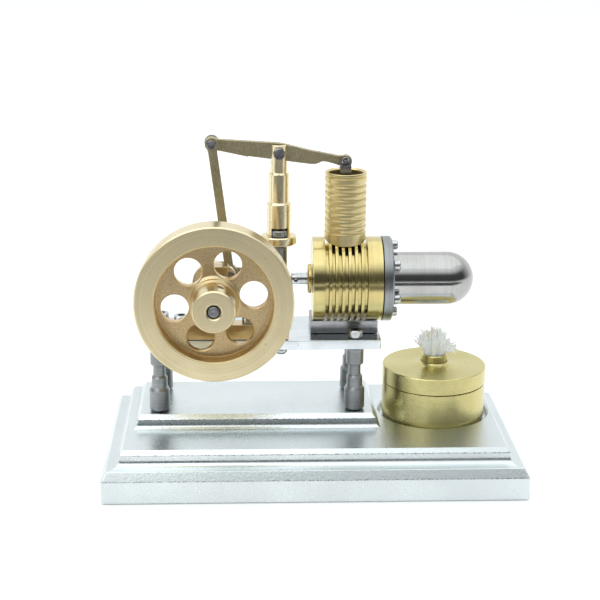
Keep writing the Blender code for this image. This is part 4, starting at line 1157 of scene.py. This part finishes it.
def make_camera():
    yaw, pitch, roll = map(radians, CAMERA_TURN)
    ahead = Vector((sin(yaw) * cos(pitch), cos(yaw) * cos(pitch), -sin(pitch)))
    level = Vector((cos(yaw), -sin(yaw), 0.0))
    down = ahead.cross(level)
    right = level * cos(roll) + down * sin(roll)
    up = level * sin(roll) - down * cos(roll)
    data = bpy.data.cameras.new("camera")
    data.lens = CAMERA_LENS
    data.sensor_width = 36.0
    camera = new_object("camera", data)
    turn = Matrix((right, up, -ahead)).transposed().to_4x4()
    camera.matrix_world = Matrix.Translation(CAMERA_AT) @ turn
    bpy.context.scene.camera = camera


def add_lamp(name, at, aim, size, power):
    data = bpy.data.lights.new(name, "AREA")
    data.shape = "RECTANGLE"
    data.size, data.size_y = size
    data.energy = power
    lamp = new_object(name, data)
    lamp.location = at
    lamp.rotation_euler = (Vector(aim) - Vector(at)).to_track_quat("-Z", "Y").to_euler()


def make_world():
    """Bright tent overhead and behind, with a dimmer band level with the front; white to the camera."""
    world = bpy.data.worlds.new("tent")
    bpy.context.scene.world = world
    world.use_nodes = True
    nodes = Nodes(world.node_tree)
    direction = nodes.add("ShaderNodeTexCoord").outputs["Generated"]
    parts = nodes.add("ShaderNodeSeparateXYZ", {0: direction}).outputs
    height = nodes.add("ShaderNodeValToRGB", {0: parts[2]})
    ramp = height.color_ramp
    while len(ramp.elements) < len(TENT):
        ramp.elements.new(0.5)
    for element, (position, level) in zip(ramp.elements, TENT):
        element.position = position
        element.color = (*(level * tint for tint in TENT_TINT), 1.0)
    tent = world.node_tree.nodes["Background"]
    nodes.feed(tent, 0, nodes.mix(nodes.ramp(parts[1], *FRONT_TO_BEHIND), height.outputs[0], BEHIND))
    paper = nodes.add("ShaderNodeBackground", {0: (1.0, 1.0, 1.0)})
    seen = nodes.add("ShaderNodeLightPath").outputs["Is Camera Ray"]
    choice = nodes.add("ShaderNodeMixShader", {0: seen, 1: tent.outputs[0], 2: paper.outputs[0]})
    nodes.feed(world.node_tree.nodes["World Output"], 0, choice.outputs[0])


def make_floor():
    mesh = bpy.data.meshes.new("floor")
    corners = [(x * FLOOR_HALF, y * FLOOR_HALF, 0.0) for x, y in ((-1, -1), (1, -1), (1, 1), (-1, 1))]
    mesh.from_pydata(corners, [], [(0, 1, 2, 3)])
    floor = new_object("floor", mesh)
    floor.location.z = -0.0002
    shader = Shader("pale_floor", (0.93, 0.93, 0.93), 0.6, 0.0)
    shader.set("Specular IOR Level", 0.2)
    shader.set("Emission Color", (1.0, 1.0, 1.0))
    shader.set("Emission Strength", 0.16)
    mesh.materials.append(shader.material)


def make_flag():
    """Dark card before the camera's feet: it only shows as the dark band in polished metal."""
    card = cube("flag", (-FLAG_HALF / MM, FLAG_FAR / MM, 0.5), (FLAG_HALF / MM, FLAG_NEAR / MM, 1.0))
    card.data.materials.append(Shader("black_card", (0.05, 0.05, 0.05), 0.9, 0.0).material)
    card.visible_camera = False
    card.visible_diffuse = False
    card.visible_shadow = False


def make_stage():
    make_camera()
    make_world()
    make_floor()
    make_flag()
    for name, row in LAMPS.items():
        add_lamp(name, *row)
    view = bpy.context.scene.view_settings
    view.view_transform = "Standard"
    view.look = "None"


for make in (make_stage, make_plinth, make_columns, make_deck, make_bracket, make_bushes, make_saddle,
             make_screws, make_displacer_cylinder, make_hot_end, make_gland, make_displacer,
             make_power_cylinder, make_piston, make_piston_link, make_beam, make_connecting_rod,
             make_link, make_fulcrum, make_flywheel, make_crankshaft, make_burner, make_wick):
    make()
